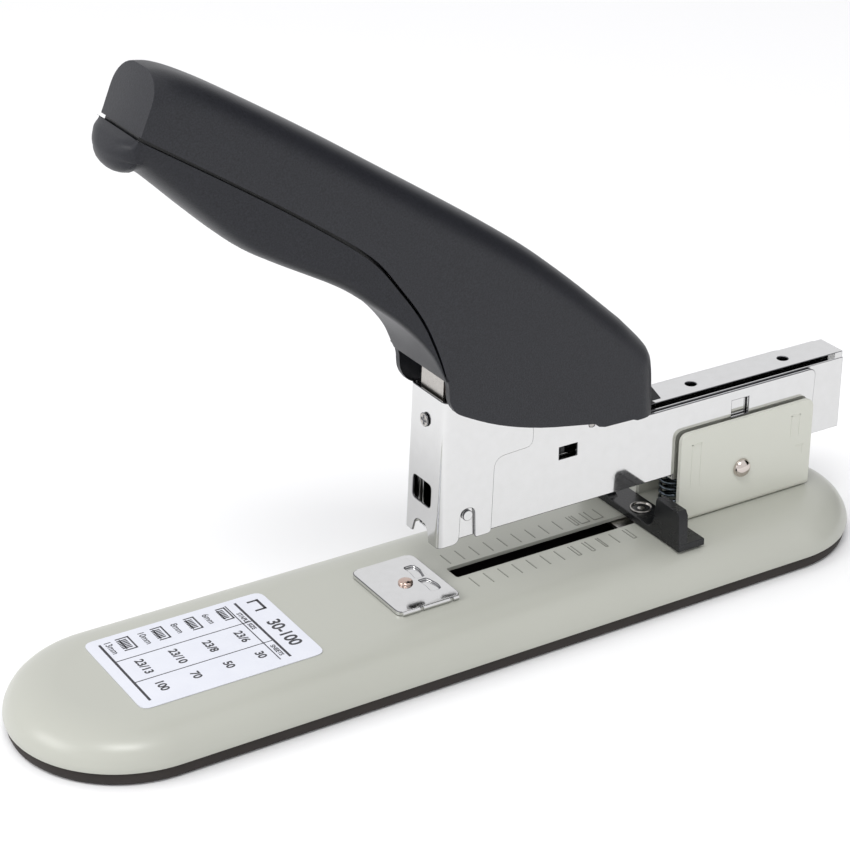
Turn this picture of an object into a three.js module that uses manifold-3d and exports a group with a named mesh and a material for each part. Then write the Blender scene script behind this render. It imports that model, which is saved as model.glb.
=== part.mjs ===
// Heavy-duty desk stapler, millimetres, +Z up.
// Origin: centre of the base on the table. The stapling head points to -X and the hinge is at +X.
// The arm and the handle are modelled in their raised rest place. The arm, the bracket and the handle
// are dimensioned from the rear end of the base, so a longer base only grows at the front.
import * as THREE from 'three';
import { mergeVertices } from 'three/addons/utils/BufferGeometryUtils.js';
import Module from 'manifold-3d';

const wasm = await Module();
wasm.setup();

// ---------------------------------------------------------------- driving dimensions
const SEAT_GAP = 0.05;            // pieces that rest on each other and do not move
const RUN_GAP = 0.35;             // pieces that slide or turn past each other
const PIN_GAP = 0.25;             // a pin in the hole it turns in, on the radius

// base
const REAR_END = 139.5;           // rear end of the base
const BASE_LENGTH = 279;
const BASE_WIDTH = 68;
const BASE_TOP = 14.5;
const SHELL_FOOT = 4.6;           // lower rim of the painted shell
const SHELL_WALL = 1.1;
const SHOULDER = 4.2;             // rounding of the shell's upper edge
const PAD_INSET = 1.7;            // the rubber pad stands this far inside the shell's outline
const PAD_LIP = 1.6;              // the pad's rim reaches this far up inside the shell
const LABEL_SETBACK = 57.5;       // from the base's front end to the label's centre
const LABEL_LENGTH = 55.6;
const LABEL_WIDTH = 38.8;
const LABEL_THICK = 0.2;

// staple and staple track
const STAPLE_CROWN = 12.9;
const STAPLE_LEG = 13;
const STAPLE_WIRE = 0.6;
const STRIP_LENGTH = 40;
const RAIL_TOP = 47;              // crowns ride on this height
const TRACK_SHEET = 0.6;
const RAIL_SHEET = 0.8;

// arm
const ARM_FLOOR = 30;             // underside of the magazine channel
const ARM_PLATE_LOW = 30.8;
const ARM_PLATE_TOP = 53.4;
const ARM_REAR = 126;
const ARM_SHEET = 0.9;
const MAGAZINE_REAR = 137.6;
const CHANNEL_TOP = 53.8;
const COVER_TOP = 54.8;
const COVER_REAR = 139.2;
const CASING_SHEET = 0.7;
const CASING_LOW = 29.6;
const CASING_TOP = 75;
const FACE_LOW_X = -11.7;         // outside of the front face at CASING_LOW
const FACE_LEAN = 0.049;          // the face leans back by this much per millimetre of height
const HINGE_X = 96.6;
const HINGE_Z = 27.8;
const HINGE_RADIUS = 2;
const BRACKET_FRONT = 73.1;
const BRACKET_REAR = 123.9;
const BRACKET_TOP = 44.5;
const BRACKET_SHEET = 1.4;
const BRACKET_GAP = 0.9;          // washer space between the arm and the bracket

// handle
const PIVOT_X = 50;
const PIVOT_Z = 63;
const PIVOT_RADIUS = 2.5;
const HANDLE_HALF = 14.3;         // half width at the skirt
const HANDLE_TIP_HALF = 11.5;     // half width at the grip's end
const HANDLE_WALL = 2.2;
const HANDLE_ROUND = 7.5;
const HANDLE_SCREW = 1.45;        // thread radius
const PARTING_GAP = 0.5;
const DRIVE_PIN_X = -1;
const DRIVE_PIN_Z = 79;
const DRIVE_PIN_RADIUS = 1.8;
const LEVER_SHEET = 1.1;

// paper guide
const GUIDE_FRONT = 62.4;
const GUIDE_DEPTH = 9.6;
const GUIDE_HALF = 25.4;
const GUIDE_STRIP = 2.3;
const FIN_HEIGHT = 13;
const FIN_THICK = 3.4;
const SLOT_FRONT = -1.2;
const SLOT_HALF = 3.1;

// anvil
const ANVIL_CENTRE_X = -16.9;
const ANVIL_LENGTH = 20.8;
const ANVIL_WIDTH = 28;
const ANVIL_THICK = 1.4;

// front face and inner pins
const SCREW_Y = 0.4;
const SCREW_Z = 66.6;
const STUD_X = -1.7;
const STUD_Z = 38;
const STUD_RADIUS = 1.65;
const STUD_NECK = 1.1;
const SPRING_BAR_X = 41.5;
const SPRING_BAR_Z = 55.6;
const SPRING_BAR_RADIUS = 1;
const RIVET_RADIUS = 1.8;

// springs: wire radius and radius of the coil's centre line
const LIFT_WIRE = 0.6;
const LIFT_COIL = 4.1;
const LIFT_SPRING_X = 79.3;
const PUSHER_WIRE = 0.3;
const PUSHER_COIL = 2.1;
const RETURN_WIRE = 0.6;

// ---------------------------------------------------------------- worked-out sizes
const BASE_CENTRE_X = REAR_END - BASE_LENGTH / 2;
const STAPLE_HALF = STAPLE_CROWN / 2;
const RAIL_HALF = STAPLE_HALF - STAPLE_WIRE - 0.25;
const COVER_HALF = RAIL_HALF - 0.45;
const CHANNEL_IN = STAPLE_HALF + 0.2;
const CHANNEL_OUT = CHANNEL_IN + TRACK_SHEET;
const ARM_IN = CHANNEL_OUT + 0.3;
const ARM_OUT = ARM_IN + ARM_SHEET;
const CASING_IN = ARM_OUT + 0.1;
const CASING_OUT = CASING_IN + CASING_SHEET;
const BRACKET_IN = ARM_OUT + BRACKET_GAP;
const BRACKET_OUT = BRACKET_IN + BRACKET_SHEET;
const LEVER_OUT = ARM_IN - 0.3;
const LEVER_IN = LEVER_OUT - LEVER_SHEET;
const BLADE_HALF = LEVER_IN - RUN_GAP;
const BLADE_THICK = 0.8;
const POCKET_END = STAPLE_HALF + 1.5;
const GUIDE_CENTRE_X = GUIDE_FRONT + GUIDE_DEPTH / 2;
const SLOT_REAR = GUIDE_FRONT + GUIDE_DEPTH;

// ---------------------------------------------------------------- solids from three.js geometry
function toSolid(geometry) {
  const bare = geometry.clone();
  bare.deleteAttribute('normal');
  bare.deleteAttribute('uv');
  const merged = mergeVertices(bare, 1e-4);
  return new wasm.Manifold(new wasm.Mesh({
    numProp: 3,
    vertProperties: new Float32Array(merged.attributes.position.array),
    triVerts: new Uint32Array(merged.index.array),
  }));
}

function toGeometry(solid) {
  const mesh = solid.getMesh();
  const geometry = new THREE.BufferGeometry();
  geometry.setAttribute('position', new THREE.BufferAttribute(mesh.vertProperties, 3));
  geometry.setIndex(new THREE.BufferAttribute(mesh.triVerts, 1));
  geometry.computeVertexNormals();
  return geometry;
}

function box(x0, x1, y0, y1, z0, z1) {
  const geometry = new THREE.BoxGeometry(x1 - x0, y1 - y0, z1 - z0);
  return toSolid(geometry.translate((x0 + x1) / 2, (y0 + y1) / 2, (z0 + z1) / 2));
}

// cylinder along Z, or a cone when the radii differ
function post(x, y, z0, z1, radius, sides = 24, topRadius = radius) {
  const geometry = new THREE.CylinderGeometry(topRadius, radius, z1 - z0, sides);
  return toSolid(geometry.rotateX(Math.PI / 2).translate(x, y, (z0 + z1) / 2));
}

// cylinder along Y
function rod(x, z, y0, y1, radius, sides = 24) {
  const geometry = new THREE.CylinderGeometry(radius, radius, y1 - y0, sides);
  return toSolid(geometry.translate(x, (y0 + y1) / 2, z));
}

// cylinder along X
function bar(y, z, x0, x1, radius, sides = 16) {
  const geometry = new THREE.CylinderGeometry(radius, radius, x1 - x0, sides);
  return toSolid(geometry.rotateZ(Math.PI / 2).translate((x0 + x1) / 2, y, z));
}

// solid turned about the Z axis from a closed profile of [radius, height]
function turned(x, y, profile, sides = 28) {
  const points = profile.map(([r, z]) => new THREE.Vector2(r, z));
  const geometry = new THREE.LatheGeometry(points, sides);
  return toSolid(geometry.rotateX(Math.PI / 2).translate(x, y, 0));
}

function polygon(points) {
  return new THREE.Shape(points.map(([a, b]) => new THREE.Vector2(a, b)));
}

// closed outline with each corner rounded by its own third value
function rounded(corners, fallback = 0) {
  const shape = new THREE.Shape();
  corners.forEach(([x, y, radius = fallback], i) => {
    const before = corners[(i + corners.length - 1) % corners.length];
    const after = corners[(i + 1) % corners.length];
    const here = new THREE.Vector2(x, y);
    const inward = new THREE.Vector2(before[0] - x, before[1] - y);
    const outward = new THREE.Vector2(after[0] - x, after[1] - y);
    const reach = Math.min(radius, inward.length() * 0.49, outward.length() * 0.49);
    const start = here.clone().addScaledVector(inward.normalize(), reach);
    const end = here.clone().addScaledVector(outward.normalize(), reach);
    if (i === 0) shape.moveTo(start.x, start.y);
    else shape.lineTo(start.x, start.y);
    if (reach > 0) shape.quadraticCurveTo(x, y, end.x, end.y);
  });
  shape.closePath();
  return shape;
}

// outline in X and Z, given thickness from y0 to y1
function sidePlate(shape, y0, y1, curveSegments = 5) {
  const depth = y1 - y0;
  const geometry = new THREE.ExtrudeGeometry(shape, { depth, bevelEnabled: false, curveSegments });
  return toSolid(geometry.rotateX(Math.PI / 2).translate(0, y1, 0));
}

// outline in X and Y, given thickness from z0 to z1
function slab(shape, z0, z1, curveSegments = 8) {
  const depth = z1 - z0;
  const geometry = new THREE.ExtrudeGeometry(shape, { depth, bevelEnabled: false, curveSegments });
  return toSolid(geometry.translate(0, 0, z0));
}

// leans a solid with the front face: X grows with height
function lean(geometry) {
  const matrix = new THREE.Matrix4().set(
    1, 0, FACE_LEAN, -FACE_LEAN * CASING_LOW,
    0, 1, 0, 0,
    0, 0, 1, 0,
    0, 0, 0, 1);
  return geometry.applyMatrix4(matrix);
}

function leaningBox(x0, x1, y0, y1, z0, z1) {
  const geometry = new THREE.BoxGeometry(x1 - x0, y1 - y0, z1 - z0);
  geometry.translate((x0 + x1) / 2, (y0 + y1) / 2, (z0 + z1) / 2);
  return toSolid(lean(geometry));
}

function leaningSlab(shape, z0, z1) {
  const geometry = new THREE.ExtrudeGeometry(shape, {
    depth: z1 - z0, bevelEnabled: false, curveSegments: 6,
  });
  return toSolid(lean(geometry.translate(0, 0, z0)));
}

function join(...solids) {
  return solids.reduce((a, b) => a.add(b));
}

function cut(solid, ...tools) {
  return tools.reduce((a, b) => a.subtract(b), solid);
}

function bothSides(make) {
  return [-1, 1].map(make);
}

// wire of round section along a curve
function wire(curve, steps, radius, halfSides) {
  const section = new THREE.Shape();
  section.absarc(0, 0, radius, 0, Math.PI * 2, false);
  const geometry = new THREE.ExtrudeGeometry(section, {
    steps, extrudePath: curve, bevelEnabled: false, curveSegments: 2 * halfSides,
  });
  return toSolid(geometry);
}

class Helix extends THREE.Curve {
  constructor(start, axis, radius, length, turns) {
    super();
    Object.assign(this, { start, axis, radius, length, turns });
  }

  getPoint(t, target = new THREE.Vector3()) {
    const angle = t * this.turns * Math.PI * 2;
    const across = this.radius * Math.cos(angle);
    const up = this.radius * Math.sin(angle);
    const along = this.length * t;
    const { x, y, z } = this.start;
    if (this.axis === 'x') return target.set(x + along, y + across, z + up);
    if (this.axis === 'y') return target.set(x + across, y + along, z + up);
    return target.set(x + across, y + up, z + along);
  }
}

// ---------------------------------------------------------------- assembly
const stapler = new THREE.Group();

function add(name, solid, color, roughness, metalness) {
  const material = new THREE.MeshStandardMaterial({ color, roughness, metalness });
  const mesh = new THREE.Mesh(toGeometry(solid), material);
  mesh.name = name;
  stapler.add(mesh);
}

const addPaint = (name, solid) => add(name, solid, 0xb9bab0, 0.4, 0.1);
const addNickel = (name, solid) => add(name, solid, 0xd8d9da, 0.18, 1);
const addSteel = (name, solid) => add(name, solid, 0x9a9a98, 0.4, 1);
const addSpringSteel = (name, solid) => add(name, solid, 0x3a3c40, 0.35, 1);
const addBlackPlastic = (name, solid) => add(name, solid, 0x2a2a2c, 0.45, 0);

// ---------------------------------------------------------------- base
function stadium(length, width) {
  const radius = width / 2;
  const straight = length / 2 - radius;
  const shape = new THREE.Shape();
  shape.absarc(BASE_CENTRE_X + straight, 0, radius, -Math.PI / 2, Math.PI / 2, false);
  shape.absarc(BASE_CENTRE_X - straight, 0, radius, Math.PI / 2, Math.PI * 1.5, false);
  shape.closePath();
  return shape;
}

// flat-topped body with a rounded upper edge; its lower edge is rounded too, below z0
function domedStadium(length, width, z0, z1, edge) {
  const geometry = new THREE.ExtrudeGeometry(stadium(length, width), {
    depth: z1 - z0 - edge,
    bevelThickness: edge,
    bevelSize: edge,
    bevelOffset: -edge,
    bevelSegments: 4,
    curveSegments: 20,
  });
  return toSolid(geometry.translate(0, 0, z0));
}

function slotCutter(z0, z1) {
  return slab(rounded([
    [SLOT_FRONT, -SLOT_HALF, 0.8], [SLOT_REAR, -SLOT_HALF, 0.8],
    [SLOT_REAR, SLOT_HALF, 0.8], [SLOT_FRONT, SLOT_HALF, 0.8],
  ]), z0, z1);
}

const bracketRivets = bothSides((side) => [BRACKET_REAR - 8, side * 5.5])
  .concat(bothSides((side) => [BRACKET_FRONT + 16, side * 5.5]));

function makeBaseShell() {
  const outside = domedStadium(BASE_LENGTH, BASE_WIDTH, SHELL_FOOT, BASE_TOP, SHOULDER);
  const reach = BASE_LENGTH * 2;
  const full = outside.intersect(box(-reach, reach, -BASE_WIDTH, BASE_WIDTH, SHELL_FOOT, BASE_TOP));
  const inside = domedStadium(BASE_LENGTH - 2 * SHELL_WALL, BASE_WIDTH - 2 * SHELL_WALL,
    SHELL_FOOT - SHELL_WALL, BASE_TOP - SHELL_WALL, SHOULDER);
  const holes = bracketRivets.map(([x, y]) => post(x, y, 0, BASE_TOP + 1, RIVET_RADIUS + SEAT_GAP, 16));
  holes.push(post(ANVIL_CENTRE_X, 0, 0, BASE_TOP + 1, RIVET_RADIUS + SEAT_GAP, 16));
  return cut(full, inside, slotCutter(BASE_TOP - 3, BASE_TOP + 1), ...holes);
}

function makeBasePad() {
  const length = BASE_LENGTH - 2 * PAD_INSET;
  const width = BASE_WIDTH - 2 * PAD_INSET;
  const tray = slab(stadium(length, width), 0, SHELL_FOOT + PAD_LIP, 20);
  const well = slab(stadium(length - 5, width - 5), SHELL_FOOT - 1.5, SHELL_FOOT + PAD_LIP + 1, 20);
  return cut(tray, well);
}

function makeLabel() {
  const centre = REAR_END - BASE_LENGTH + LABEL_SETBACK;
  const x0 = centre - LABEL_LENGTH / 2;
  const x1 = centre + LABEL_LENGTH / 2;
  const y = LABEL_WIDTH / 2;
  const outline = rounded([[x0, -y], [x1, -y], [x1, y], [x0, y]], 3);
  return slab(outline, BASE_TOP + SEAT_GAP, BASE_TOP + SEAT_GAP + LABEL_THICK, 4);
}

// ---------------------------------------------------------------- anvil
function makeAnvilPlate() {
  const x0 = ANVIL_CENTRE_X - ANVIL_LENGTH / 2;
  const x1 = ANVIL_CENTRE_X + ANVIL_LENGTH / 2;
  const y = ANVIL_WIDTH / 2;
  const z0 = BASE_TOP + SEAT_GAP;
  const plate = slab(rounded([[x0, -y], [x1, -y], [x1, y], [x0, y]], 2.6), z0, z0 + ANVIL_THICK, 4);
  // two curved pockets that fold the staple's legs inwards
  const pocketX = driverX(BASE_TOP) - 0.3;
  const pockets = bothSides((side) => slab(rounded([
    [pocketX - 1.7, side * 0.6, 0.6], [pocketX + 1.1, side * 0.6, 0.6],
    [pocketX + 2.2, side * 5, 1.5], [pocketX + 1.6, side * POCKET_END, 1],
    [pocketX - 1.6, side * POCKET_END, 1], [pocketX - 1.2, side * 4.4, 1.2],
  ]), z0 + ANVIL_THICK / 2, z0 + ANVIL_THICK + 1, 4));
  const rivetHole = post(ANVIL_CENTRE_X, 0, 0, BASE_TOP + 4, RIVET_RADIUS + SEAT_GAP, 16);
  return cut(plate, ...pockets, rivetHole);
}

function rivetProfile(low, foot, seat, headRadius, headHeight) {
  return [[0, low], [headRadius, low], [headRadius, foot], [RIVET_RADIUS, foot], [RIVET_RADIUS, seat],
    [headRadius, seat], [headRadius, seat + headHeight * 0.35],
    [headRadius * 0.75, seat + headHeight * 0.8], [headRadius * 0.35, seat + headHeight],
    [0, seat + headHeight]];
}

function makeAnvilRivet() {
  const under = BASE_TOP - SHELL_WALL - SEAT_GAP;
  const seat = BASE_TOP + 2 * SEAT_GAP + ANVIL_THICK;
  return turned(ANVIL_CENTRE_X, 0, rivetProfile(under - 0.8, under, seat, 2.4, 1), 24);
}

// X of the driver's front face at height z
function driverX(z) {
  return FACE_LOW_X + FACE_LEAN * (z - CASING_LOW) + CASING_SHEET + 2 * RUN_GAP;
}

// ---------------------------------------------------------------- rear bracket and hinge
function makeBracket() {
  const bend = 2;
  const z0 = BASE_TOP + SEAT_GAP;
  const section = (half, low, radius) => rounded([
    [-half, BRACKET_TOP + 5], [-half, low, radius], [half, low, radius], [half, BRACKET_TOP + 5],
  ]);
  const along = (shape) => {
    const depth = BRACKET_REAR - BRACKET_FRONT;
    const geometry = new THREE.ExtrudeGeometry(shape, { depth, bevelEnabled: false, curveSegments: 5 });
    geometry.rotateX(Math.PI / 2).rotateZ(Math.PI / 2);
    return toSolid(geometry.translate(BRACKET_FRONT, 0, 0));
  };
  const outside = along(section(BRACKET_OUT, z0, bend));
  const inside = along(section(BRACKET_IN, z0 + BRACKET_SHEET, bend - BRACKET_SHEET));
  const outline = sidePlate(rounded([
    [BRACKET_FRONT, z0], [BRACKET_REAR, z0], [BRACKET_REAR, BRACKET_TOP, 3], [BRACKET_FRONT, BRACKET_TOP, 3],
  ]), -BRACKET_OUT - 1, BRACKET_OUT + 1);
  const hole = rod(HINGE_X, HINGE_Z, -BRACKET_OUT - 1, BRACKET_OUT + 1, HINGE_RADIUS + SEAT_GAP);
  const rivets = bracketRivets.map(([x, y]) => post(x, y, 0, BASE_TOP + 4, RIVET_RADIUS + SEAT_GAP, 16));
  return cut(outside.intersect(outline), inside, hole, ...rivets);
}

function makeBracketRivet(x, y) {
  const under = BASE_TOP - SHELL_WALL - SEAT_GAP;
  const seat = BASE_TOP + 2 * SEAT_GAP + BRACKET_SHEET;
  return turned(x, y, rivetProfile(under - 0.8, under, seat, 2.9, 0.9), 20);
}

function makeHingeRivet() {
  const seat = BRACKET_OUT + SEAT_GAP;
  const head = 3;
  const rise = 1.3;
  const profile = [[0, -seat - rise], [head * 0.4, -seat - rise * 0.95], [head * 0.8, -seat - rise * 0.65],
    [head, -seat - 0.3], [head, -seat], [HINGE_RADIUS, -seat], [HINGE_RADIUS, seat], [head, seat],
    [head, seat + 0.3], [head * 0.8, seat + rise * 0.65], [head * 0.4, seat + rise * 0.95], [0, seat + rise]];
  const points = profile.map(([r, h]) => new THREE.Vector2(r, h));
  return toSolid(new THREE.LatheGeometry(points, 24).translate(HINGE_X, 0, HINGE_Z));
}

function makeHingeWasher(side) {
  const inner = ARM_OUT + 0.15;
  const outer = BRACKET_IN - 0.15;
  const [y0, y1] = side > 0 ? [inner, outer] : [-outer, -inner];
  const ring = rod(HINGE_X, HINGE_Z, y0, y1, 4.2);
  return cut(ring, rod(HINGE_X, HINGE_Z, y0 - 1, y1 + 1, HINGE_RADIUS + SEAT_GAP));
}

const FRAME_WEB_TOP = ARM_FLOOR - 0.2;
const FRAME_WEB_LOW = FRAME_WEB_TOP - ARM_SHEET;

function makeLiftSpring() {
  const seat = BASE_TOP + SEAT_GAP + BRACKET_SHEET + LIFT_WIRE + 0.1;
  const top = FRAME_WEB_LOW - LIFT_WIRE - 0.1;
  const start = new THREE.Vector3(LIFT_SPRING_X, 0, seat);
  return wire(new Helix(start, 'z', LIFT_COIL, top - seat, 4.5), 72, LIFT_WIRE, 3);
}

// ---------------------------------------------------------------- paper guide
function makePaperGuide() {
  const z0 = BASE_TOP + 0.25;
  const z1 = z0 + GUIDE_STRIP;
  const x1 = SLOT_REAR;
  const strip = slab(rounded([[GUIDE_FRONT, -GUIDE_HALF], [x1, -GUIDE_HALF],
    [x1, GUIDE_HALF], [GUIDE_FRONT, GUIDE_HALF]], 0.8), z0, z1, 3);
  const fins = bothSides((side) => {
    const shape = polygon([[side * 11.2, z0], [side * GUIDE_HALF, z0],
      [side * (GUIDE_HALF - 0.6), z0 + FIN_HEIGHT], [side * 12.8, z0 + FIN_HEIGHT]]);
    const geometry = new THREE.ExtrudeGeometry(shape, { depth: FIN_THICK, bevelEnabled: false });
    return toSolid(geometry.rotateX(Math.PI / 2).rotateZ(Math.PI / 2).translate(GUIDE_FRONT, 0, 0));
  });
  return cut(join(strip, ...fins), post(GUIDE_CENTRE_X, 0, 0, z1 + 1, 2.5 + SEAT_GAP));
}

function makeGuideEyelet() {
  const top = BASE_TOP + 0.25 + GUIDE_STRIP + SEAT_GAP;
  const low = BASE_TOP - SHELL_WALL - 0.35 - 1.2;
  const profile = [[1.5, low - 0.5], [3.2, low - 0.5], [3.2, low - SEAT_GAP], [2.5, low - SEAT_GAP],
    [2.5, top], [3.6, top], [3.3, top + 0.5], [2.4, top + 0.6], [1.5, top - 0.3], [1.5, low - 0.5]];
  return turned(GUIDE_CENTRE_X, 0, profile, 24);
}

function makeGuideSlider() {
  const top = BASE_TOP - SHELL_WALL - 0.35;
  const plate = box(GUIDE_CENTRE_X - 9, GUIDE_CENTRE_X + 9, -8, 8, top - 1.2, top);
  return cut(plate, post(GUIDE_CENTRE_X, 0, top - 3, top + 1, 2.5 + SEAT_GAP));
}

// ---------------------------------------------------------------- arm frame and front casing
const FRAME_NOSE = FACE_LOW_X + CASING_SHEET + 3.2;

function makeArmFrame() {
  const outline = rounded([
    [FRAME_NOSE, ARM_PLATE_LOW, 1], [HINGE_X - 9, ARM_PLATE_LOW, 2], [HINGE_X - 5, HINGE_Z - 4.6, 3],
    [HINGE_X + 5, HINGE_Z - 4.6, 3], [HINGE_X + 9, ARM_PLATE_LOW, 2],
    [ARM_REAR - 1, ARM_PLATE_LOW, 1], [ARM_REAR, ARM_PLATE_TOP, 3], [PIVOT_X + 8.5, ARM_PLATE_TOP, 2],
    [PIVOT_X + 5.5, PIVOT_Z + 4.5, 4], [PIVOT_X - 4, PIVOT_Z + 5.2, 4],
    [19, CASING_TOP - 2, 2], [FRAME_NOSE + 2.1, CASING_TOP - 2, 1.5],
  ]);
  const walls = bothSides((side) => {
    const [y0, y1] = side > 0 ? [ARM_IN, ARM_OUT] : [-ARM_OUT, -ARM_IN];
    return sidePlate(outline, y0, y1);
  });
  const web = box(BRACKET_FRONT - 1, HINGE_X - 5.6, -ARM_OUT, ARM_OUT, FRAME_WEB_LOW, FRAME_WEB_TOP);
  const webTies = bothSides((side) => {
    const [y0, y1] = side > 0 ? [ARM_IN, ARM_OUT] : [-ARM_OUT, -ARM_IN];
    return box(BRACKET_FRONT - 1, HINGE_X - 5.6, y0, y1, FRAME_WEB_LOW, ARM_PLATE_LOW + 1);
  });
  const reach = ARM_OUT + 1;
  const frontWindow = box(30.2, 36.4, -reach, reach, 46.9, 50.9);
  const rearWindow = box(93.4, 99.8, -reach, reach, 44.6, 50.1);
  return cut(join(...walls, web, ...webTies), frontWindow, rearWindow,
    rod(PIVOT_X, PIVOT_Z, -reach, reach, PIVOT_RADIUS + SEAT_GAP),
    rod(HINGE_X, HINGE_Z, -reach, reach, HINGE_RADIUS + PIN_GAP),
    rod(SPRING_BAR_X, SPRING_BAR_Z, -reach, reach, SPRING_BAR_RADIUS + SEAT_GAP, 12),
    rod(STUD_X, STUD_Z, -reach, reach, STUD_NECK + SEAT_GAP, 16));
}

function makeFrontCasing() {
  const bend = 1.9;
  const x0 = FACE_LOW_X;
  const outer = rounded([[x0, -CASING_OUT, bend], [40, -CASING_OUT],
    [40, CASING_OUT], [x0, CASING_OUT, bend]]);
  const inner = rounded([[x0 + CASING_SHEET, -CASING_IN, bend - CASING_SHEET], [50, -CASING_IN],
    [50, CASING_IN], [x0 + CASING_SHEET, CASING_IN, bend - CASING_SHEET]]);
  const wrap = leaningSlab(outer, CASING_LOW, CASING_TOP)
    .subtract(leaningSlab(inner, CASING_LOW - 5, CASING_TOP + 5));
  const side = rounded([
    [x0 - 2, CASING_LOW], [-4.6, CASING_LOW, 2.4], [-4, 40.2, 2.2], [0.6, 40.2, 2.2],
    [0.8, CASING_LOW + 0.5, 1], [6.4, CASING_LOW + 0.6, 1.4], [7.4, 53.8, 3.5], [20.4, 54.4, 2.5],
    [20.9, CASING_TOP + 2], [x0 - 2, CASING_TOP + 2],
  ]);
  const trimmed = wrap.intersect(sidePlate(side, -CASING_OUT - 2, CASING_OUT + 2));
  const facePlate = (outline) => {
    const geometry = new THREE.ExtrudeGeometry(outline, { depth: 6, bevelEnabled: false, curveSegments: 6 });
    geometry.rotateX(Math.PI / 2).rotateZ(Math.PI / 2);
    return toSolid(geometry.translate(x0 - 3, 0, 0));
  };
  const window = facePlate(rounded([[-4.2, 40.4], [5.6, 40.4], [5.6, 47.6], [-4.2, 47.6]], 1.6));
  const arch = facePlate(rounded([[-6.4, CASING_LOW - 2], [-4.2, CASING_LOW - 1, 1], [-2.6, 34.6, 2.4],
    [3.4, 34.6, 2.4], [5.2, CASING_LOW - 1, 1], [6.4, CASING_LOW - 2]]));
  const faceX = x0 + FACE_LEAN * (SCREW_Z - CASING_LOW);
  const screwHole = bar(SCREW_Y, SCREW_Z, faceX - 2, faceX + 3, 1.5 + SEAT_GAP, 20);
  return cut(trimmed, window, arch, screwHole);
}

function makeCasingScrew() {
  const faceX = FACE_LOW_X + FACE_LEAN * (SCREW_Z - CASING_LOW);
  const head = bar(SCREW_Y, SCREW_Z, faceX - 1, faceX - 0.12, 2.5, 20);
  const shank = bar(SCREW_Y, SCREW_Z, faceX - 0.5, faceX + CASING_SHEET + 0.25, 1.45, 16);
  const recess = [[0.32, 1.6], [1.6, 0.32]].map(([a, b]) => box(faceX - 1.6, faceX - 0.5,
    SCREW_Y - a, SCREW_Y + a, SCREW_Z - b, SCREW_Z + b));
  return cut(join(head, shank), ...recess);
}

// studs riveted into the frame; the casing's open slots drop over them
function makeCasingStud(side) {
  const [neck0, neck1] = side > 0 ? [ARM_IN, ARM_OUT + 0.6] : [-ARM_OUT - 0.6, -ARM_IN];
  const inner = ARM_OUT + SEAT_GAP;
  const outer = CASING_OUT + 0.25;
  const [head0, head1] = side > 0 ? [inner, outer] : [-outer, -inner];
  return join(rod(STUD_X, STUD_Z, neck0, neck1, STUD_NECK, 16),
    rod(STUD_X, STUD_Z, head0, head1, STUD_RADIUS));
}

function makePivotPin() {
  const shank = rod(PIVOT_X, PIVOT_Z, -ARM_OUT - 0.9, ARM_OUT + 0.1, PIVOT_RADIUS);
  const heads = [[-ARM_OUT - 1.2, -ARM_OUT - SEAT_GAP], [ARM_OUT + SEAT_GAP, ARM_OUT + 1.2]]
    .map(([y0, y1]) => rod(PIVOT_X, PIVOT_Z, y0, y1, PIVOT_RADIUS + 1.2));
  return join(shank, ...heads);
}

function makeSpringBar() {
  return rod(SPRING_BAR_X, SPRING_BAR_Z, -ARM_OUT, ARM_OUT, SPRING_BAR_RADIUS, 12);
}

// ---------------------------------------------------------------- magazine
const STRIP_FRONT = driverX(RAIL_TOP) + BLADE_THICK + 0.3;
const CHANNEL_FRONT = STRIP_FRONT + 0.4;
const COVER_FRONT = 59.5;

function makeChannel() {
  const floorTop = ARM_FLOOR + TRACK_SHEET;
  const tray = box(CHANNEL_FRONT, MAGAZINE_REAR, -CHANNEL_OUT, CHANNEL_OUT, ARM_FLOOR, CHANNEL_TOP);
  const well = box(CHANNEL_FRONT - 1, MAGAZINE_REAR + 1, -CHANNEL_IN, CHANNEL_IN, floorTop, CHANNEL_TOP + 1);
  // the walls are lower ahead of the cover's rear half
  const frontTop = box(CHANNEL_FRONT - 1, COVER_FRONT + 2.9, -CHANNEL_OUT - 1, CHANNEL_OUT + 1,
    CHANNEL_TOP - 2.4, CHANNEL_TOP + 1);
  return cut(tray, well, frontTop);
}

function makeStapleRail() {
  const low = ARM_FLOOR + TRACK_SHEET + SEAT_GAP;
  const rail = box(CHANNEL_FRONT, MAGAZINE_REAR - 1.5, -RAIL_HALF, RAIL_HALF, low, RAIL_TOP);
  const hollow = box(CHANNEL_FRONT - 1, MAGAZINE_REAR, -RAIL_HALF + RAIL_SHEET, RAIL_HALF - RAIL_SHEET,
    low - 1, RAIL_TOP - RAIL_SHEET);
  return cut(rail, hollow);
}

function makeMagazineCover() {
  const low = RAIL_TOP + SEAT_GAP;
  const cover = box(COVER_FRONT, COVER_REAR, -COVER_HALF, COVER_HALF, low, COVER_TOP);
  const half = COVER_HALF - RAIL_SHEET;
  const hollow = box(COVER_FRONT - 1, COVER_REAR - RAIL_SHEET, -half, half, low - 1, COVER_TOP - RAIL_SHEET);
  const holes = [83.9, 119.4].map((x) => post(x, 0, COVER_TOP - 2, COVER_TOP + 1, 1.7));
  return cut(cover, hollow, ...holes);
}

function makeStapleStrip() {
  const low = RAIL_TOP + 0.1;
  const top = low + STAPLE_WIRE;
  const crown = box(STRIP_FRONT, STRIP_FRONT + STRIP_LENGTH, -STAPLE_HALF, STAPLE_HALF, low, top);
  const legs = bothSides((side) => {
    const inner = STAPLE_HALF - STAPLE_WIRE;
    const [y0, y1] = side > 0 ? [inner, STAPLE_HALF] : [-STAPLE_HALF, -inner];
    return box(STRIP_FRONT, STRIP_FRONT + STRIP_LENGTH, y0, y1, top - STAPLE_LEG, top);
  });
  return join(crown, ...legs);
}

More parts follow.
